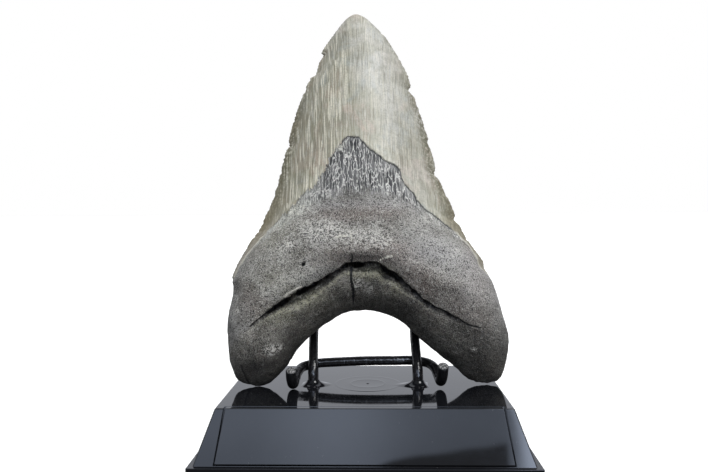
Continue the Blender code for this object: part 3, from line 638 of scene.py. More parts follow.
def fossil_finish():
    f = Finish("fossil tooth")
    place = f.attribute("place", vector=True)
    across, height_up = f.axis(place, "X"), f.axis(place, "Z")
    olive, rust, pale, light, dark = (f.attribute(name) for name in TINTS_AND_PAINTED_LIGHT)
    speckle = f.noise(place, 0.6, 2, 0.7)
    fine = f.noise(place, 0.3, 1, 0.6)
    fleck = f.noise(place, 1.1, 2, 0.65)
    blotch = f.noise(place, 7, 4, 0.6)
    patch = f.noise(place, 2.2, 3, 0.6)

    # The crown's enamel: greenish taupe, with upright streaks, cream hairlines and small stains, a painted sheen right
    # of its middle, and painted shade along its cutting edges.
    streak = f.noise(f.stretched(place, (1.1, 6, 30)), 1, 3, 0.6)
    hair = f.noise(f.stretched(place, (0.5, 4, 13)), 1, 1, 0.5)
    fine_hair = f.noise(f.stretched(place, (0.3, 4, 6)), 1, 1, 0.5)
    dark_hair = f.noise(f.stretched(place, (0.42, 4, 8)), 1, 2, 0.6, 0.2)
    to_left = f.ranged(across, -2, -16)
    cloud = f.noise(place, 14, 3, 0.6, 0.8)
    crown = f.mix(f.ranged(streak, 0.32, 0.68), (0.29, 0.28, 0.2), (0.49, 0.475, 0.39))
    crown = f.mix(f.ranged(cloud, 0.5, 0.6, 0, 0.65), crown, (0.5, 0.41, 0.34))
    crown = f.mix(f.ranged(cloud, 0.48, 0.38, 0, 0.65), crown, (0.32, 0.355, 0.34))
    # Painted sheen: the crown lighter right of its middle and at its tip.
    crown = f.mix(f.math("MULTIPLY", light, 0.7), crown, (0.68, 0.68, 0.66))
    crown = f.mix(f.math("MULTIPLY", olive, 0.6), crown, (0.27, 0.26, 0.16))
    crown = f.mix(f.math("MULTIPLY", rust, 0.6), crown, (0.33, 0.24, 0.16))
    crown = f.mix(f.ranged(blotch, 0.45, 0.6, 0, 0.55), crown, (0.27, 0.262, 0.2))
    crown = f.mix(f.ranged(patch, 0.54, 0.7, 0, 0.4), crown, (0.26, 0.255, 0.2))
    crown = f.mix(f.ranged(dark_hair, 0.53, 0.68, 0, 0.6), crown, (0.16, 0.155, 0.12))
    cream = f.math("MULTIPLY", f.ranged(hair, 0.55, 0.6), f.ranged(to_left, 0, 1, 0.35, 0.95))
    crown = f.mix(cream, crown, (0.74, 0.72, 0.6))
    crown = f.mix(f.ranged(fine_hair, 0.55, 0.68, 0, 0.6), crown, (0.68, 0.67, 0.6))
    crown = f.mix(f.ranged(speckle, 0.34, 0.56, 0.3, 0.0), crown, (0.2, 0.195, 0.15))
    crown = f.mix(f.ranged(fleck, 0.7, 0.78, 0, 0.5), crown, (0.7, 0.68, 0.6))
    # Darker along the cutting edges: a dark olive edge tone, with painted shade in the gaps between the serrations.
    rim = f.math("MULTIPLY", f.ranged(f.attribute("edge"), 0.78, 0.99, 0, 1), f.ranged(fleck, 0.35, 0.6, 0.25, 1))
    rim = f.math("MULTIPLY", rim, f.ranged(height_up, 125, 100, 0.45, 0.95))
    crown = f.mix(rim, crown, (0.12, 0.11, 0.07))
    low_rim = f.math("MULTIPLY", f.ranged(height_up, 84, 56), f.ranged(f.math("ABSOLUTE", across), 24, 36))
    crown = f.mix(f.math("MULTIPLY", low_rim, 0.6), crown, (0.19, 0.165, 0.11))

    # The chevron band: dark, under a net of light wrinkles, with painted light on the wrinkles' ridges and painted
    # shade in their furrows.
    wrinkle = f.attribute("wrinkle")
    net = f.add("ShaderNodeVectorMath", {0: f.stretched(place, (1.0, 3, 7)), 1: f.drift(place, 2.2, 0.5)},
                operation="ADD")
    edges = f.cells(net, 1, "DISTANCE_TO_EDGE")
    lines = f.math("MULTIPLY", f.ranged(edges, 0.02, 0.13, 1, 0), f.ranged(fleck, 0.35, 0.55, 0.25, 1))
    band = f.mix(f.ranged(blotch, 0.35, 0.65), (0.036, 0.037, 0.038), (0.18, 0.182, 0.183))
    # Painted light and shade: lighter on the wrinkles' ridges, darker in their furrows.
    band = f.mix(f.ranged(wrinkle, 0.3, 1.0, 0, 0.75), band, (0.42, 0.42, 0.415))
    # Painted shade and dark tone in the band's middle.
    band = f.mix(f.math("MULTIPLY", dark, 0.55), band, (0.022, 0.023, 0.025))
    band = f.mix(f.math("MULTIPLY", lines, 0.95), band, (0.74, 0.74, 0.71))
    band = f.mix(f.ranged(f.math("MULTIPLY", across, -1.0), 12, 30, 0, 0.45), band, (0.36, 0.37, 0.33))
    band = f.mix(f.math("MULTIPLY", pale, f.ranged(speckle, 0.42, 0.58)), band, (0.68, 0.68, 0.6))

    # The root: porous, mottled grey with white and brown specks; darker below its long crack, partly painted shade
    # where it turns away underneath.
    gap = f.attribute("gap")
    low = f.ranged(f.math("ADD", gap, f.ranged(patch, 0.3, 0.7, -1, 1)), 1.5, -1.5)
    root = f.mix(f.ranged(blotch, 0.38, 0.62), (0.14, 0.135, 0.12), (0.31, 0.308, 0.288))
    root = f.mix(f.ranged(patch, 0.5, 0.64, 0, 0.45), root, (0.13, 0.12, 0.105))
    # Painted light: the root lighter on its right and along its crest.
    root = f.mix(f.math("MULTIPLY", light, 0.8), root, (0.43, 0.425, 0.425))
    root = f.mix(f.math("MULTIPLY", rust, 0.6), root, (0.14, 0.1, 0.085))
    root = f.mix(f.math("MULTIPLY", olive, 0.6), root, (0.22, 0.215, 0.15))
    # Below the long crack: a darker root tone, with painted shade where the root turns away underneath.
    shaded_lower_root = f.mix(f.ranged(blotch, 0.36, 0.64), (0.085, 0.081, 0.07), (0.24, 0.232, 0.205))
    shaded_lower_root = f.mix(f.ranged(patch, 0.5, 0.62, 0, 0.55), shaded_lower_root, (0.1, 0.08, 0.064))
    shaded_lower_root = f.mix(f.math("MULTIPLY", olive, 0.8), shaded_lower_root, (0.25, 0.25, 0.17))
    root = f.mix(low, root, shaded_lower_root)
    root = f.mix(f.ranged(speckle, 0.37, 0.5, 0.92, 0), root, (0.022, 0.02, 0.018))
    root = f.mix(f.ranged(fine, 0.54, 0.68, 0, f.ranged(low, 0, 1, 0.7, 0.6)), root, (0.6, 0.595, 0.56))
    root = f.mix(f.ranged(fleck, 0.6, 0.7, 0, f.ranged(low, 0, 1, 0.65, 0.55)), root, (0.58, 0.58, 0.54))
    # Painted shade: the lobes, the root below its crest and the crack's upper side darker.
    root = f.mix(f.math("MULTIPLY", dark, 0.66), root, (0.03, 0.028, 0.026))
    spread = f.ranged(pale, 0.95, 1.5, 0, 0.3)
    white = f.math("MAXIMUM", f.ranged(f.math("ADD", speckle, spread), 0.51, 0.59), f.ranged(f.math("ADD", fleck, spread), 0.53, 0.6))
    white = f.math("MULTIPLY", f.math("MULTIPLY", white, f.ranged(blotch, 0.3, 0.5, 0.6, 1)), f.ranged(pale, 0, 0.9))
    root = f.mix(white, root, (0.62, 0.61, 0.575))

    # The enamel's foot is a crisp dark step on the right, worn and soft on the left.
    enamel = f.attribute("enamel")
    soft = f.math("MULTIPLY", f.ranged(across, -6, -14, 0.3, 1.6), f.ranged(across, -37, -32, 0.1, 1))
    frayed = f.math("MULTIPLY", f.math("SUBTRACT", f.noise(f.stretched(place, (0.8, 4, 3)), 1, 2, 0.6), 0.5), soft)
    worn_enamel = f.math("ADD", enamel, f.math("MULTIPLY", frayed, 3.0))
    on_crown = f.ranged(worn_enamel, -0.15, 0.2)
    in_band = f.ranged(f.math("ADD", f.attribute("band"), f.ranged(patch, 0.2, 0.8, -2, 2)), -1.6, 2.6)
    color = f.mix(on_crown, f.mix(in_band, root, band), crown)
    step = f.ranged(f.math("ABSOLUTE", f.math("ADD", worn_enamel, 0.1)), 0.1, 0.42, 1, 0)
    dark_step = f.math("MULTIPLY", step, f.ranged(across, -14, -7, 0.25, 0.85))
    color = f.mix(f.math("MULTIPLY", dark_step, f.ranged(across, 30, 36, 1, 0.4)), color, (0.03, 0.03, 0.03))
    outer = f.ranged(f.math("ABSOLUTE", f.math("ADD", across, 3.0)), 33, 37)
    color = f.mix(f.math("MULTIPLY", f.math("MULTIPLY", step, outer), 0.75), color, (0.62, 0.6, 0.52))

    # The long crack, its broken ledge and lip, the side crack and the nutrient hole, with painted shade in the recess,
    # round the crack and inside the cracks and hole, and painted highlights on the ledge's shelf and the upper lip.
    half = f.attribute("half")
    from_crack = f.math("SUBTRACT", f.math("ABSOLUTE", gap), half)
    cracked = f.ranged(half, 0.1, 0.4)
    under, broken = f.attribute("under"), f.ranged(f.attribute("ledge"), 0.1, 0.9)
    # Painted highlight: the ledge's upward-facing shelf painted a light olive grey, as if lit.
    shelf_highlight = f.math("MULTIPLY", f.ranged(under, 0.5, 0.75), f.ranged(under, 0.95, 1.25, 1, 0))
    shelf_highlight = f.math("MULTIPLY", f.math("MULTIPLY", shelf_highlight, broken), f.ranged(fleck, 0.36, 0.54, 0.2, 1))
    # Painted shade: the recess between the crack and its ledge's lower edge darkened to near black.
    recess_shade = f.math("MULTIPLY", f.ranged(under, -0.05, 0.05), f.ranged(under, 0.5, 0.85, 1, 0))
    recess_shade = f.math("MULTIPLY", f.math("MULTIPLY", recess_shade, broken), f.ranged(fleck, 0.42, 0.62, 1, 0.15))
    color = f.mix(f.math("MULTIPLY", recess_shade, 0.8), color, (0.022, 0.021, 0.018))
    shelf_highlight = f.math("MULTIPLY", shelf_highlight, f.ranged(speckle, 0.4, 0.58, 0.1, 0.7))
    color = f.mix(shelf_highlight, color, (0.3, 0.295, 0.225))
    # Painted shade: darker round the crack, where its sides fall into shade.
    crack_shade = f.math("MULTIPLY", f.ranged(from_crack, 0.1, 1.0, 0.8, 0), f.ranged(patch, 0.32, 0.6, 1, 0.35))
    color = f.mix(f.math("MULTIPLY", crack_shade, cracked), color, (0.022, 0.02, 0.017))
    color = f.mix(f.ranged(f.attribute("cracklet"), 0.1, 0.4, 0.9, 0), color, (0.012, 0.011, 0.01))
    # Painted highlight: a thin light line along the crack's upper lip.
    lip_highlight = f.math("MULTIPLY", f.ranged(gap, 0, 0.2), f.ranged(f.math("ABSOLUTE", f.math("SUBTRACT", from_crack, 0.25)), 0.05, 0.3, 1, 0))
    lip_highlight = f.math("MULTIPLY", f.math("MULTIPLY", lip_highlight, cracked), f.ranged(fleck, 0.5, 0.6))
    color = f.mix(f.math("MULTIPLY", lip_highlight, 0.7), color, (0.42, 0.41, 0.36))
    side = f.math("SUBTRACT", f.math("ABSOLUTE", f.attribute("split")), f.attribute("split_half"))
    deep = f.math("MINIMUM", from_crack, side)
    # Painted shade: the insides of the long crack and the side crack nearly black, with a few pale flecks.
    void_shade = f.mix(f.ranged(fleck, 0.58, 0.72), (0.003, 0.003, 0.003), (0.09, 0.088, 0.07))
    color = f.mix(f.ranged(deep, -0.1, 0.14, 1, 0), color, void_shade)
    # Painted shade: the nutrient hole's inside nearly black.
    color = f.mix(f.ranged(f.attribute("hole"), 0.75, 1.15, 1, 0), color, (0.004, 0.004, 0.004))
    flake = f.math("MULTIPLY", f.ranged(f.attribute("flake"), 0.2, 0.55, 1, 0), f.ranged(fine, 0.35, 0.5, 0.4, 0.95))
    color = f.mix(flake, color, (0.66, 0.65, 0.58))

    rough = f.ranged(speckle, 0.25, 0.75, 0.5, 0.72)
    rough_crown = f.ranged(streak, 0.25, 0.75, 0.3, 0.46)
    roughness = f.add("ShaderNodeMix", {0: on_crown, 2: rough, 3: rough_crown}, data_type="FLOAT")
    height = f.math("ADD", f.math("MULTIPLY", speckle, 0.6), f.math("MULTIPLY", fine, 0.4))
    height = f.math("MULTIPLY", height, f.ranged(on_crown, 0, 1, 1, 0.12))
    height = f.math("ADD", height, f.math("MULTIPLY", hair, f.math("MULTIPLY", on_crown, 0.12)))
    height = f.math("ADD", height, f.math("MULTIPLY", f.math("MULTIPLY", lines, in_band), f.ranged(on_crown, 0, 1, 0.3, 0)))
    return f.done(base_color=color, roughness=roughness, normal=f.bump(height, 0.5 * MM, 0.9))


def glossy_plastic(name, tone, roughness, dust):
    """Black moulded plastic: nearly a mirror, a little wavy, with fine dust and rubbed patches."""
    f = Finish(name)
    place = f.object_place()
    wave = f.noise(place, 18 * MM, 1, 0.4)
    rubbed = f.noise(place, 9 * MM, 4, 0.6)
    flecks = f.cells(place, 1.9 * MM)
    fleck = f.math("MULTIPLY", f.ranged(flecks, 0.05, 0.12, dust, 0), f.ranged(f.noise(place, 6 * MM), 0.55, 0.7))
    color = f.mix(f.ranged(rubbed, 0.35, 0.75, 0, 0.5), tone, tuple(1.6 * c for c in tone))
    color = f.mix(fleck, color, (0.5, 0.5, 0.5))
    rough = f.math("ADD", f.ranged(rubbed, 0.4, 0.8, roughness, roughness * 1.7), f.math("MULTIPLY", fleck, 0.4))
    return f.done(base_color=color, roughness=rough, normal=f.bump(wave, 0.05 * MM, 0.5), ior=1.5)


def painted_finish():
    """Thick black paint: glossy and bumpy on the wire, matte and dragged where the tips were dipped."""
    f = Finish("painted wire")
    place = f.object_place()
    peel = f.noise(place, 0.8 * MM, 2, 0.6)
    sags = f.noise(f.stretched(place, (1.6 * MM, 1.6 * MM, 5 * MM)), 1, 2, 0.5)
    drag = f.noise(f.stretched(place, (0.6 * MM, 0.6 * MM, 4 * MM)), 1, 3, 0.6)
    dipped = f.attribute("dipped")
    tip, end = f.ranged(dipped, 0.2, 0.9), f.ranged(dipped, 1.2, 1.8)
    color = f.mix(f.ranged(drag, 0.3, 0.7), (0.004, 0.004, 0.005), (0.011, 0.011, 0.012))
    chips = f.ranged(f.noise(place, 0.45 * MM, 2, 0.7), 0.42, 0.62, 0.02, 0.3)
    chips = f.add("ShaderNodeCombineColor", {0: chips, 1: chips, 2: chips})
    color = f.mix(end, color, chips)
    rough = f.math("ADD", f.ranged(sags, 0.3, 0.75, 0.07, 0.17), f.math("MULTIPLY", tip, 0.45))
    height = f.math("ADD", f.math("MULTIPLY", peel, 0.5), f.math("MULTIPLY", sags, 1.2))
    return f.done(base_color=color, roughness=rough, normal=f.bump(height, 0.2 * MM, 0.9), ior=1.45)


# ---- Pieces ---------------------------------------------------------------------------------------------------
def add_piece(name, mesh, finish, node):
    """A piece that rides on the body and stands for a CAD node."""
    made = bpy.data.objects.new(name, mesh)
    bpy.context.scene.collection.objects.link(made)
    mesh.materials.clear()
    mesh.materials.append(finish)
    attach(made, "root")
    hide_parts(node)
    return made


def settled(obj):
    """The object's mesh with its modifiers carried out. The object is removed."""
    mesh = bpy.data.meshes.new_from_object(obj.evaluated_get(bpy.context.evaluated_depsgraph_get()))
    bpy.data.objects.remove(obj)
    return mesh


def from_bmesh(name, bm):
    mesh = bpy.data.meshes.new(name)
    bm.to_mesh(mesh)
    bm.free()
    made = bpy.data.objects.new(name, mesh)
    bpy.context.scene.collection.objects.link(made)
    return made


def block(name, corner):
    """A closed box whose corners go where corner(side_x, side_y, side_z) says, each side being -1 or 1."""
    bm = bmesh.new()
    bmesh.ops.create_cube(bm, size=2)
    for vert in bm.verts:
        vert.co = corner(*(round(c) for c in vert.co))
    return from_bmesh(name, bm)


def turned(name, profile, steps=72):
    """A closed turned solid, from a profile of radius and height in mm that starts and ends on the axis."""
    bm = bmesh.new()
    verts = [bm.verts.new((r * MM, 0, h * MM)) for r, h in profile]
    edges = [bm.edges.new(pair) for pair in zip(verts[:-1], verts[1:])]
    bmesh.ops.spin(bm, geom=verts + edges, axis=(0, 0, 1), cent=(0, 0, 0), steps=steps, angle=2 * math.pi, use_merge=True)
    bmesh.ops.remove_doubles(bm, verts=bm.verts[:], dist=1e-6)
    bmesh.ops.recalc_face_normals(bm, faces=bm.faces[:])
    return from_bmesh(name, bm)


def bevel(target, width, segments):
    rounding = target.modifiers.new("rounded edges", "BEVEL")
    rounding.width = width
    rounding.segments = segments
    rounding.limit_method = "ANGLE"


def boolean(target, other, operation):
    joined = target.modifiers.new(f"{operation.lower()} {other.name}", "BOOLEAN")
    joined.operation = operation
    joined.object = other


def crisp(mesh, degrees=30):
    mesh.shade_smooth()
    mesh.set_sharp_from_angle(angle=math.radians(degrees))


def front_face_y(height):
    return -TOP_DEPTH / 2 - FLARE * (BASE_HEIGHT - height) / SLOPE_HEIGHT


def sloping_block(side_x, side_y, side_z):
    below = 3 * MM
    if side_z > 0:
        return side_x * TOP_WIDTH / 2, side_y * TOP_DEPTH / 2, BASE_HEIGHT
    spread = FLARE * (SLOPE_HEIGHT + below) / SLOPE_HEIGHT
    return side_x * (TOP_WIDTH / 2 + spread), side_y * (TOP_DEPTH / 2 + spread), PLINTH_HEIGHT - below


def plinth_block(side_x, side_y, side_z):
    low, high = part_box("stand_base")
    return (high if side_x > 0 else low).x, (high if side_y > 0 else low).y, PLINTH_HEIGHT * (side_z + 1) / 2


def plate_corner(inset, thickness, top_overrun=0.0, front_overrun=0.0):
    """The corners of the name plate, or of its slot, as a slab that lies in the sloping front face."""

    def corner(side_x, side_y, side_z):
        if side_z > 0:
            height, half_width = BASE_HEIGHT + top_overrun, PLATE_TOP_WIDTH / 2
        else:
            height, half_width = BASE_HEIGHT - PLATE_HEIGHT + inset, PLATE_BOTTOM_WIDTH / 2
        face = front_face_y(height)
        return side_x * (half_width - inset), face + thickness if side_y > 0 else face - front_overrun, height

    return corner


COLLAR = [
    (0.0, 1.9), (2.1, 1.9), (2.2, 1.82), (2.4, 1.4), (2.75, 1.0), (3.2, 0.68), (3.8, 0.4), (4.5, 0.2),
    (5.3, 0.07), (6.2, -0.03), (6.2, -1.0), (0.0, -1.0),
]
COLLAR_SPREAD = {"upright_left": (-0.28, 0.24), "upright_right": (0.65, -0.42)}  # how its left and right sides run out
# The gate mark in the middle of the top: two faint raised rings and a nub, as radius and height in mm.
GATE_MARK = [
    (0.0, 0.22), (0.3, 0.2), (0.6, 0.02), (1.2, 0.025), (5.5, 0.03), (5.9, 0.1), (6.4, 0.1), (6.9, 0.03),
    (11.0, 0.03), (11.5, 0.07), (12.0, 0.06), (12.6, -0.02), (12.6, -1.0), (0.0, -1.0),
]


def spread_collar(collar, leftwards, rightwards):
    """Draws the collar's skirt out, or in, to its left and right by these shares."""
    for vert in collar.data.vertices:
        radius = math.hypot(vert.co.x, vert.co.y)
        outer = min(max(radius / MM - 2.2, 0) / 4, 1)
        to_side = abs(vert.co.x / max(radius, MM)) ** 4
        vert.co.x *= 1 + (leftwards if vert.co.x < 0 else rightwards) * outer * to_side


def make_base():
    base = block("stand_base_form", sloping_block)
    bevel(base, EDGE_ROUND, 5)
    plinth = block("plinth", plinth_block)
    bevel(plinth, EDGE_ROUND / 2, 4)
    slot = block("plate_slot", plate_corner(0, PLATE_THICKNESS + FIT_GAP, top_overrun=2 * MM, front_overrun=2 * MM))
    gate_mark = turned("gate_mark", GATE_MARK)
    gate_mark.location = (0.9 * MM, 1.4 * MM, BASE_HEIGHT)
    tools = [plinth, slot, gate_mark]
    boolean(base, plinth, "UNION")
    boolean(base, slot, "DIFFERENCE")
    boolean(base, gate_mark, "UNION")
    for name, (x, y, _) in UPRIGHTS.items():
        collar = turned(f"{name}_collar", COLLAR)
        spread_collar(collar, *COLLAR_SPREAD[name])
        collar.location = (x * MM, y * MM, BASE_HEIGHT)
        boolean(base, collar, "UNION")
        tools.append(collar)
    mesh = settled(base)
    for tool in tools:
        bpy.data.objects.remove(tool)
    crisp(mesh)
    made = add_piece("black_stand_base", mesh, glossy_plastic("black plastic", (0.006, 0.0065, 0.008), 0.045, 0.5),
                     "stand_base")
    made.modifiers.new("even shading", "WEIGHTED_NORMAL").keep_sharp = True


def make_plate():
    plate = block("plate_form", plate_corner(FIT_GAP, PLATE_THICKNESS))
    bevel(plate, PLATE_EDGE_ROUND, 3)
    mesh = settled(plate)
    crisp(mesh)
    made = add_piece("bare_name_plate", mesh, glossy_plastic("name plate", (0.008, 0.009, 0.011), 0.03, 0.2),
                     "name_plate")
    made.modifiers.new("even shading", "WEIGHTED_NORMAL").keep_sharp = True


def tube(route, radii, dipped):
    """A round wire along the route, in metres, with rounded ends; dipped tells its matte stretches (0 to 1)."""
    tangents = np.gradient(route, axis=0)
    tangents /= np.linalg.norm(tangents, axis=1)[:, None]
    side = np.cross(tangents[0], (1.0, 0.3, 0.1))
    rings, dips = [], []
    turn = np.linspace(0, 2 * math.pi, WIRE_SIDES, endpoint=False)

    def ring(place, tangent, side, radius, dip):
        up = np.cross(tangent, side)
        rings.append(place + radius * (np.outer(np.cos(turn), side) + np.outer(np.sin(turn), up)))
        dips.append(np.full(WIRE_SIDES, dip))

    ends = [(0.0, 0.55), (0.05, 0.8), (0.14, 0.93), (0.3, 1.0)]  # how far in, and how wide, in radii
    for k, (place, tangent, radius) in enumerate(zip(route, tangents, radii)):
        side = side - tangent * np.dot(side, tangent)
        side /= np.linalg.norm(side)
        if k == 0:
            for inward, width in ends:
                ring(place + tangent * radius * inward, tangent, side, radius * width, dipped[k] * (1 + (width < 0.9)))
        elif k == len(route) - 1:
            for inward, width in ends[::-1]:
                ring(place - tangent * radius * inward, tangent, side, radius * width, dipped[k] * (1 + (width < 0.9)))
        else:
            ring(place, tangent, side, radius, dipped[k])
    places = np.vstack(rings)
    index = np.arange(len(places)).reshape(-1, WIRE_SIDES)
    following = np.roll(index, -1, axis=1)
    quads = np.stack([index[:-1], following[:-1], following[1:], index[1:]], axis=-1).reshape(-1, 4).tolist()
    caps = [index[0][::-1].tolist(), index[-1].tolist()]
    return places, quads + caps, np.concatenate(dips)


def weld(middle, reach):
    """A lumpy bead of weld as places and faces, between an upright and the cradle."""
    bm = bmesh.new()
    bmesh.ops.create_icosphere(bm, subdivisions=4, radius=1)
    unit = np.array([v.co for v in bm.verts])
    faces = [[v.index for v in face.verts] for face in bm.faces]
    bm.free()
    lumps = 1 + 0.14 * grain(unit, 0.55, middle[0]) + 0.05 * grain(unit, 0.2, 7)
    return np.array(middle) + unit * lumps[:, None] * np.array(reach), faces, np.zeros(len(unit))


def joined_mesh(name, shells):
    places, faces, dips, start = [], [], [], 0
    for shell_places, shell_faces, shell_dips in shells:
        places.append(shell_places)
        dips.append(shell_dips)
        faces.extend([[start + k for k in face] for face in shell_faces])
        start += len(shell_places)
    mesh = bpy.data.meshes.new(name)
    mesh.from_pydata(np.vstack(places).tolist(), [], faces)
    store(mesh, "dipped", np.concatenate(dips))
    crisp(mesh, 50)
    return mesh


def make_easel():
    finish = painted_finish()
    lift = np.array([0, 0, BASE_HEIGHT])
    for name, (x, y, forward) in UPRIGHTS.items():
        route = smooth_curve([(x, y + back, up) for back, up in UPRIGHT_ROUTE], steps=8)
        route[:, 0] += UPRIGHT_SIDEWAYS * smooth_step(2, 18, route[:, 2])
        route[:, 1] -= forward * smooth_step(25, 60, route[:, 2])
        height = route[:, 2]
        swell = 1 + (UPRIGHT_FOOT_SWELL - 1) * (1 - smooth_step(6, 9, height))
        swell = swell * (1 + 0.012 * grain(route, 2.2, 41))
        shell = tube(route * MM + lift, WIRE_RADIUS * swell, np.zeros(len(route)))
        add_piece(f"wire_{name}", joined_mesh(name, [shell]), finish, name)
    route = smooth_curve(CRADLE_ROUTE, steps=10)
    near_tip = 1 - smooth_step(-6.5, -3.5, route[:, 1])
    swell = (1 + (DIPPED_TIP - 1) * near_tip) * (1 + 0.012 * grain(route, 2.2, 42))
    cradle = tube(route * MM + lift, WIRE_RADIUS * swell, near_tip)
    beads = [
        weld((side * 19.2 * MM, 4.9 * MM, BASE_HEIGHT + height * MM), (2.1 * MM, 1.5 * MM, 1.5 * MM))
        for side, height in ((-1, 6.3), (1, 7.2))
    ]
    add_piece("wire_cradle", joined_mesh("wire_cradle", [cradle, *beads]), finish, "cradle_wire")


def make_tooth():
    mesh = tooth_mesh()
    turn = (Matrix.Rotation(TOOTH_YAW, 4, "Z") @ Matrix.Rotation(-TOOTH_LEAN, 4, "X")).to_4x4()
    mesh.transform(turn @ Matrix.Scale(MM, 4))
    lowest = min(vert.co.z for vert in mesh.vertices)
    mesh.transform(Matrix.Translation((*TOOTH_FOOT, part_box("megalodon_tooth")[0].z - lowest)))
    for vert in mesh.vertices:  # the lobes' feet come down to touch the base
        vert.co.z -= TOUCH_DOWN * (1 - smooth_step(BASE_HEIGHT, BASE_HEIGHT + TOUCH_REACH, vert.co.z))
    add_piece("fossil_megalodon_tooth", mesh, fossil_finish(), "megalodon_tooth")


# ---- Studio ---------------------------------------------------------------------------------------------------
CAMERA_PLACE = (3.95 * MM, -262.95 * MM, 85.92 * MM)
CAMERA_RIGHT = (0.99955655, 0.02903897, -0.00659158)
CAMERA_UP = (0.00569593, 0.03081873, 0.99950876)
CAMERA_LENS = 36.8


def make_camera():
    data = bpy.data.cameras.new("camera")
    data.sensor_width = 36
    data.lens = CAMERA_LENS
    data.clip_start = MM
    camera = bpy.data.objects.new("camera", data)
    bpy.context.scene.collection.objects.link(camera)
    right, up = Vector(CAMERA_RIGHT).normalized(), Vector(CAMERA_UP).normalized()
    turn = Matrix([right, up, right.cross(up)]).transposed().to_4x4()
    camera.matrix_world = Matrix.Translation(CAMERA_PLACE) @ turn
    bpy.context.scene.camera = camera


def direction(azimuth, elevation):
    """Towards this azimuth, 0 in front and growing to the right, and elevation. Both are in degrees."""
    a, e = math.radians(azimuth), math.radians(elevation)
    return math.sin(a) * math.cos(e), -math.cos(a) * math.cos(e), math.sin(e)


def sun(name, azimuth, elevation, spread, strength, tint=(1, 1, 1)):
    """A wide, soft light from far away: its azimuth is 0 in front and grows to the right. Angles in degrees."""
    data = bpy.data.lights.new(name, "SUN")
    data.energy = strength
    data.angle = math.radians(spread)
    data.color = tint
    lamp = bpy.data.objects.new(name, data)
    bpy.context.scene.collection.objects.link(lamp)
    lamp.rotation_euler = Vector(direction(azimuth, elevation)).to_track_quat("Z", "Y").to_euler()
    lamp.visible_glossy = False


def softbox(name, place, aim, width, height, radiance, tint=(1, 1, 1)):
    data = bpy.data.lights.new(name, "AREA")
    data.shape = "RECTANGLE"
    data.size, data.size_y = width, height
    data.energy = radiance * 4 * width * height
    data.color = tint
    lamp = bpy.data.objects.new(name, data)
    bpy.context.scene.collection.objects.link(lamp)
    lamp.location = place
    lamp.rotation_euler = (Vector(aim) - Vector(place)).to_track_quat("-Z", "Y").to_euler()
    return lamp


KEY_DIRECTION = direction(44, 48)
KEY_EDGE = math.cos(math.radians(18)), math.cos(math.radians(8))  # the soft edge of the key light as gloss mirrors it
KEY_GLOSS = 9.0


class World:
    """The white studio round the object, written with the same words as a finish."""

    def __init__(self):
        world = bpy.data.worlds.new("white studio")
        bpy.context.scene.world = world
        world.use_nodes = True
        self.tree = world.node_tree
        self.background = self.tree.nodes["Background"]


for word in ("add", "feed", "math", "ranged", "mix"):
    setattr(World, word, getattr(Finish, word))


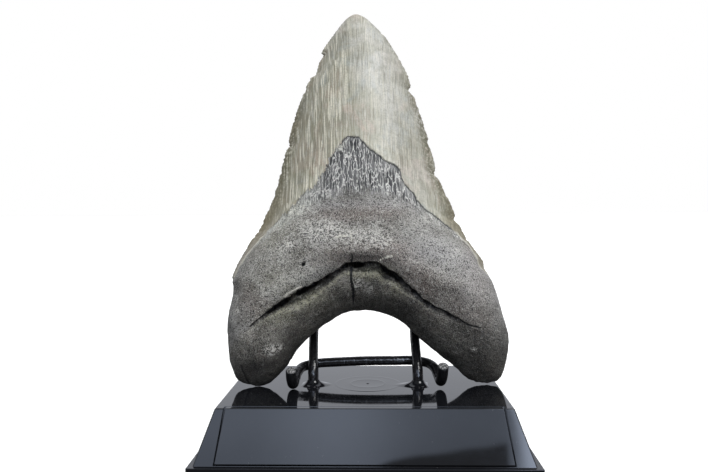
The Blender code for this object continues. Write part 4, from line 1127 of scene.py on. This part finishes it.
def make_world():
    """White to the camera. What glossy surfaces mirror depends on the direction, as round a product table:
    a pale wall behind, a dark table below, and in front a window, a bright strip on its right and a dark room.
    """
    w = World()
    place = w.add("ShaderNodeTexCoord", output="Generated")
    x, y, z = (w.add("ShaderNodeSeparateXYZ", {0: place}, output=axis) for axis in "XYZ")
    forward = w.math("MAXIMUM", w.math("MULTIPLY", y, -1.0), 0.02)
    across = w.math("DIVIDE", x, forward)  # tangents of the angles to the right of the front, and up from it
    rise = w.math("DIVIDE", z, forward)

    front = w.mix(w.ranged(y, -0.25, 0.1), (0.2, 0.2, 0.21), (0.7, 0.725, 0.79))
    middle = w.ranged(w.math("ABSOLUTE", w.math("ADD", across, 0.065)), 0.0, 0.13, 0.75, 0)
    glow = w.math("ADD", w.math("ADD", 1.5, middle), w.ranged(rise, 0.35, 0.43, 0, 0.35))
    glow = w.math("MULTIPLY", glow, w.ranged(across, -0.02, 0.13, 1, 0.72))
    sill = w.math("ADD", w.ranged(across, -0.03, 0.03, 0.345, 0.3575), w.math("MULTIPLY", w.math("MAXIMUM", across, 0.0), 0.165))
    above_sill = w.ranged(w.math("SUBTRACT", rise, sill), -0.004, 0.007)
    in_window = w.math("MULTIPLY", above_sill, w.ranged(across, -0.75, -0.7))
    in_window = w.math("MULTIPLY", in_window, w.ranged(rise, 0.85, 0.95, 1, 0))
    strip = w.math("MULTIPLY", w.ranged(across, 0.182, 0.19), w.ranged(across, 0.42, 0.46, 1, 0))
    strip = w.math("MULTIPLY", strip, w.math("MULTIPLY", w.ranged(rise, 0.2, 0.24), w.ranged(rise, 1.0, 1.2, 1, 0)))
    window = w.math("MULTIPLY", w.math("MULTIPLY", in_window, w.ranged(across, 0.182, 0.19, 1, 0)), glow)
    window = w.math("ADD", window, w.math("MULTIPLY", strip, w.ranged(across, 0.19, 0.222, 1.5, 6.5)))
    window = w.math("MULTIPLY", window, w.ranged(y, -0.3, -0.1, 1, 0))
    mirrored = w.mix(w.math("MINIMUM", window, 1.0), front, (0, 0, 0))
    mirrored = w.mix(1.0, mirrored, w.mix(1.0, (0.93, 1.06, 1.32), window, "MULTIPLY"), "ADD")
    towards_key = w.add("ShaderNodeVectorMath", {0: place, 1: KEY_DIRECTION}, output="Value", operation="DOT_PRODUCT")
    mirrored = w.mix(1.0, mirrored, w.ranged(towards_key, *KEY_EDGE, 0, KEY_GLOSS), "ADD")
    mirrored = w.mix(w.ranged(z, -0.04, 0.02, 1, 0), mirrored, (0.1, 0.1, 0.105))
    seen = w.mix(w.add("ShaderNodeLightPath", output="Is Glossy Ray"), (WORLD_LIGHT,) * 3, mirrored)
    seen = w.mix(w.add("ShaderNodeLightPath", output="Is Camera Ray"), seen, (1, 1, 1))
    w.feed(w.background.inputs["Color"], seen)


def make_floor():
    bm = bmesh.new()
    bmesh.ops.create_grid(bm, x_segments=1, y_segments=1, size=FLOOR_REACH)
    floor = from_bmesh("floor", bm)
    f = Finish("pale floor")
    tone = f.noise(f.object_place(), 0.15, 3, 0.5)
    floor.data.materials.append(f.done(
        base_color=f.mix(tone, (0.8, 0.8, 0.8), (0.84, 0.84, 0.84)), roughness=f.ranged(tone, 0.3, 0.7, 0.6, 0.7),
        emission_color=(1, 1, 1), emission_strength=0.35
    ))
    floor.visible_diffuse = floor.visible_glossy = False


WORLD_LIGHT = 0.12
FLOOR_REACH = 30.0


def make_studio():
    sun("key", 28, 52, 38, 2.6)
    sun("top", 170, 74, 60, 1.6)
    softbox("front", (-0.12, -1.3, 0.78), (0, 0, 0.02), 0.75, 0.6, 1.9, (0.9, 0.97, 1.15)).visible_glossy = False
    make_world()
    make_floor()
    bpy.context.scene.view_settings.view_transform = "Standard"


make_camera()
make_studio()
make_base()
make_plate()
make_easel()
make_tooth()
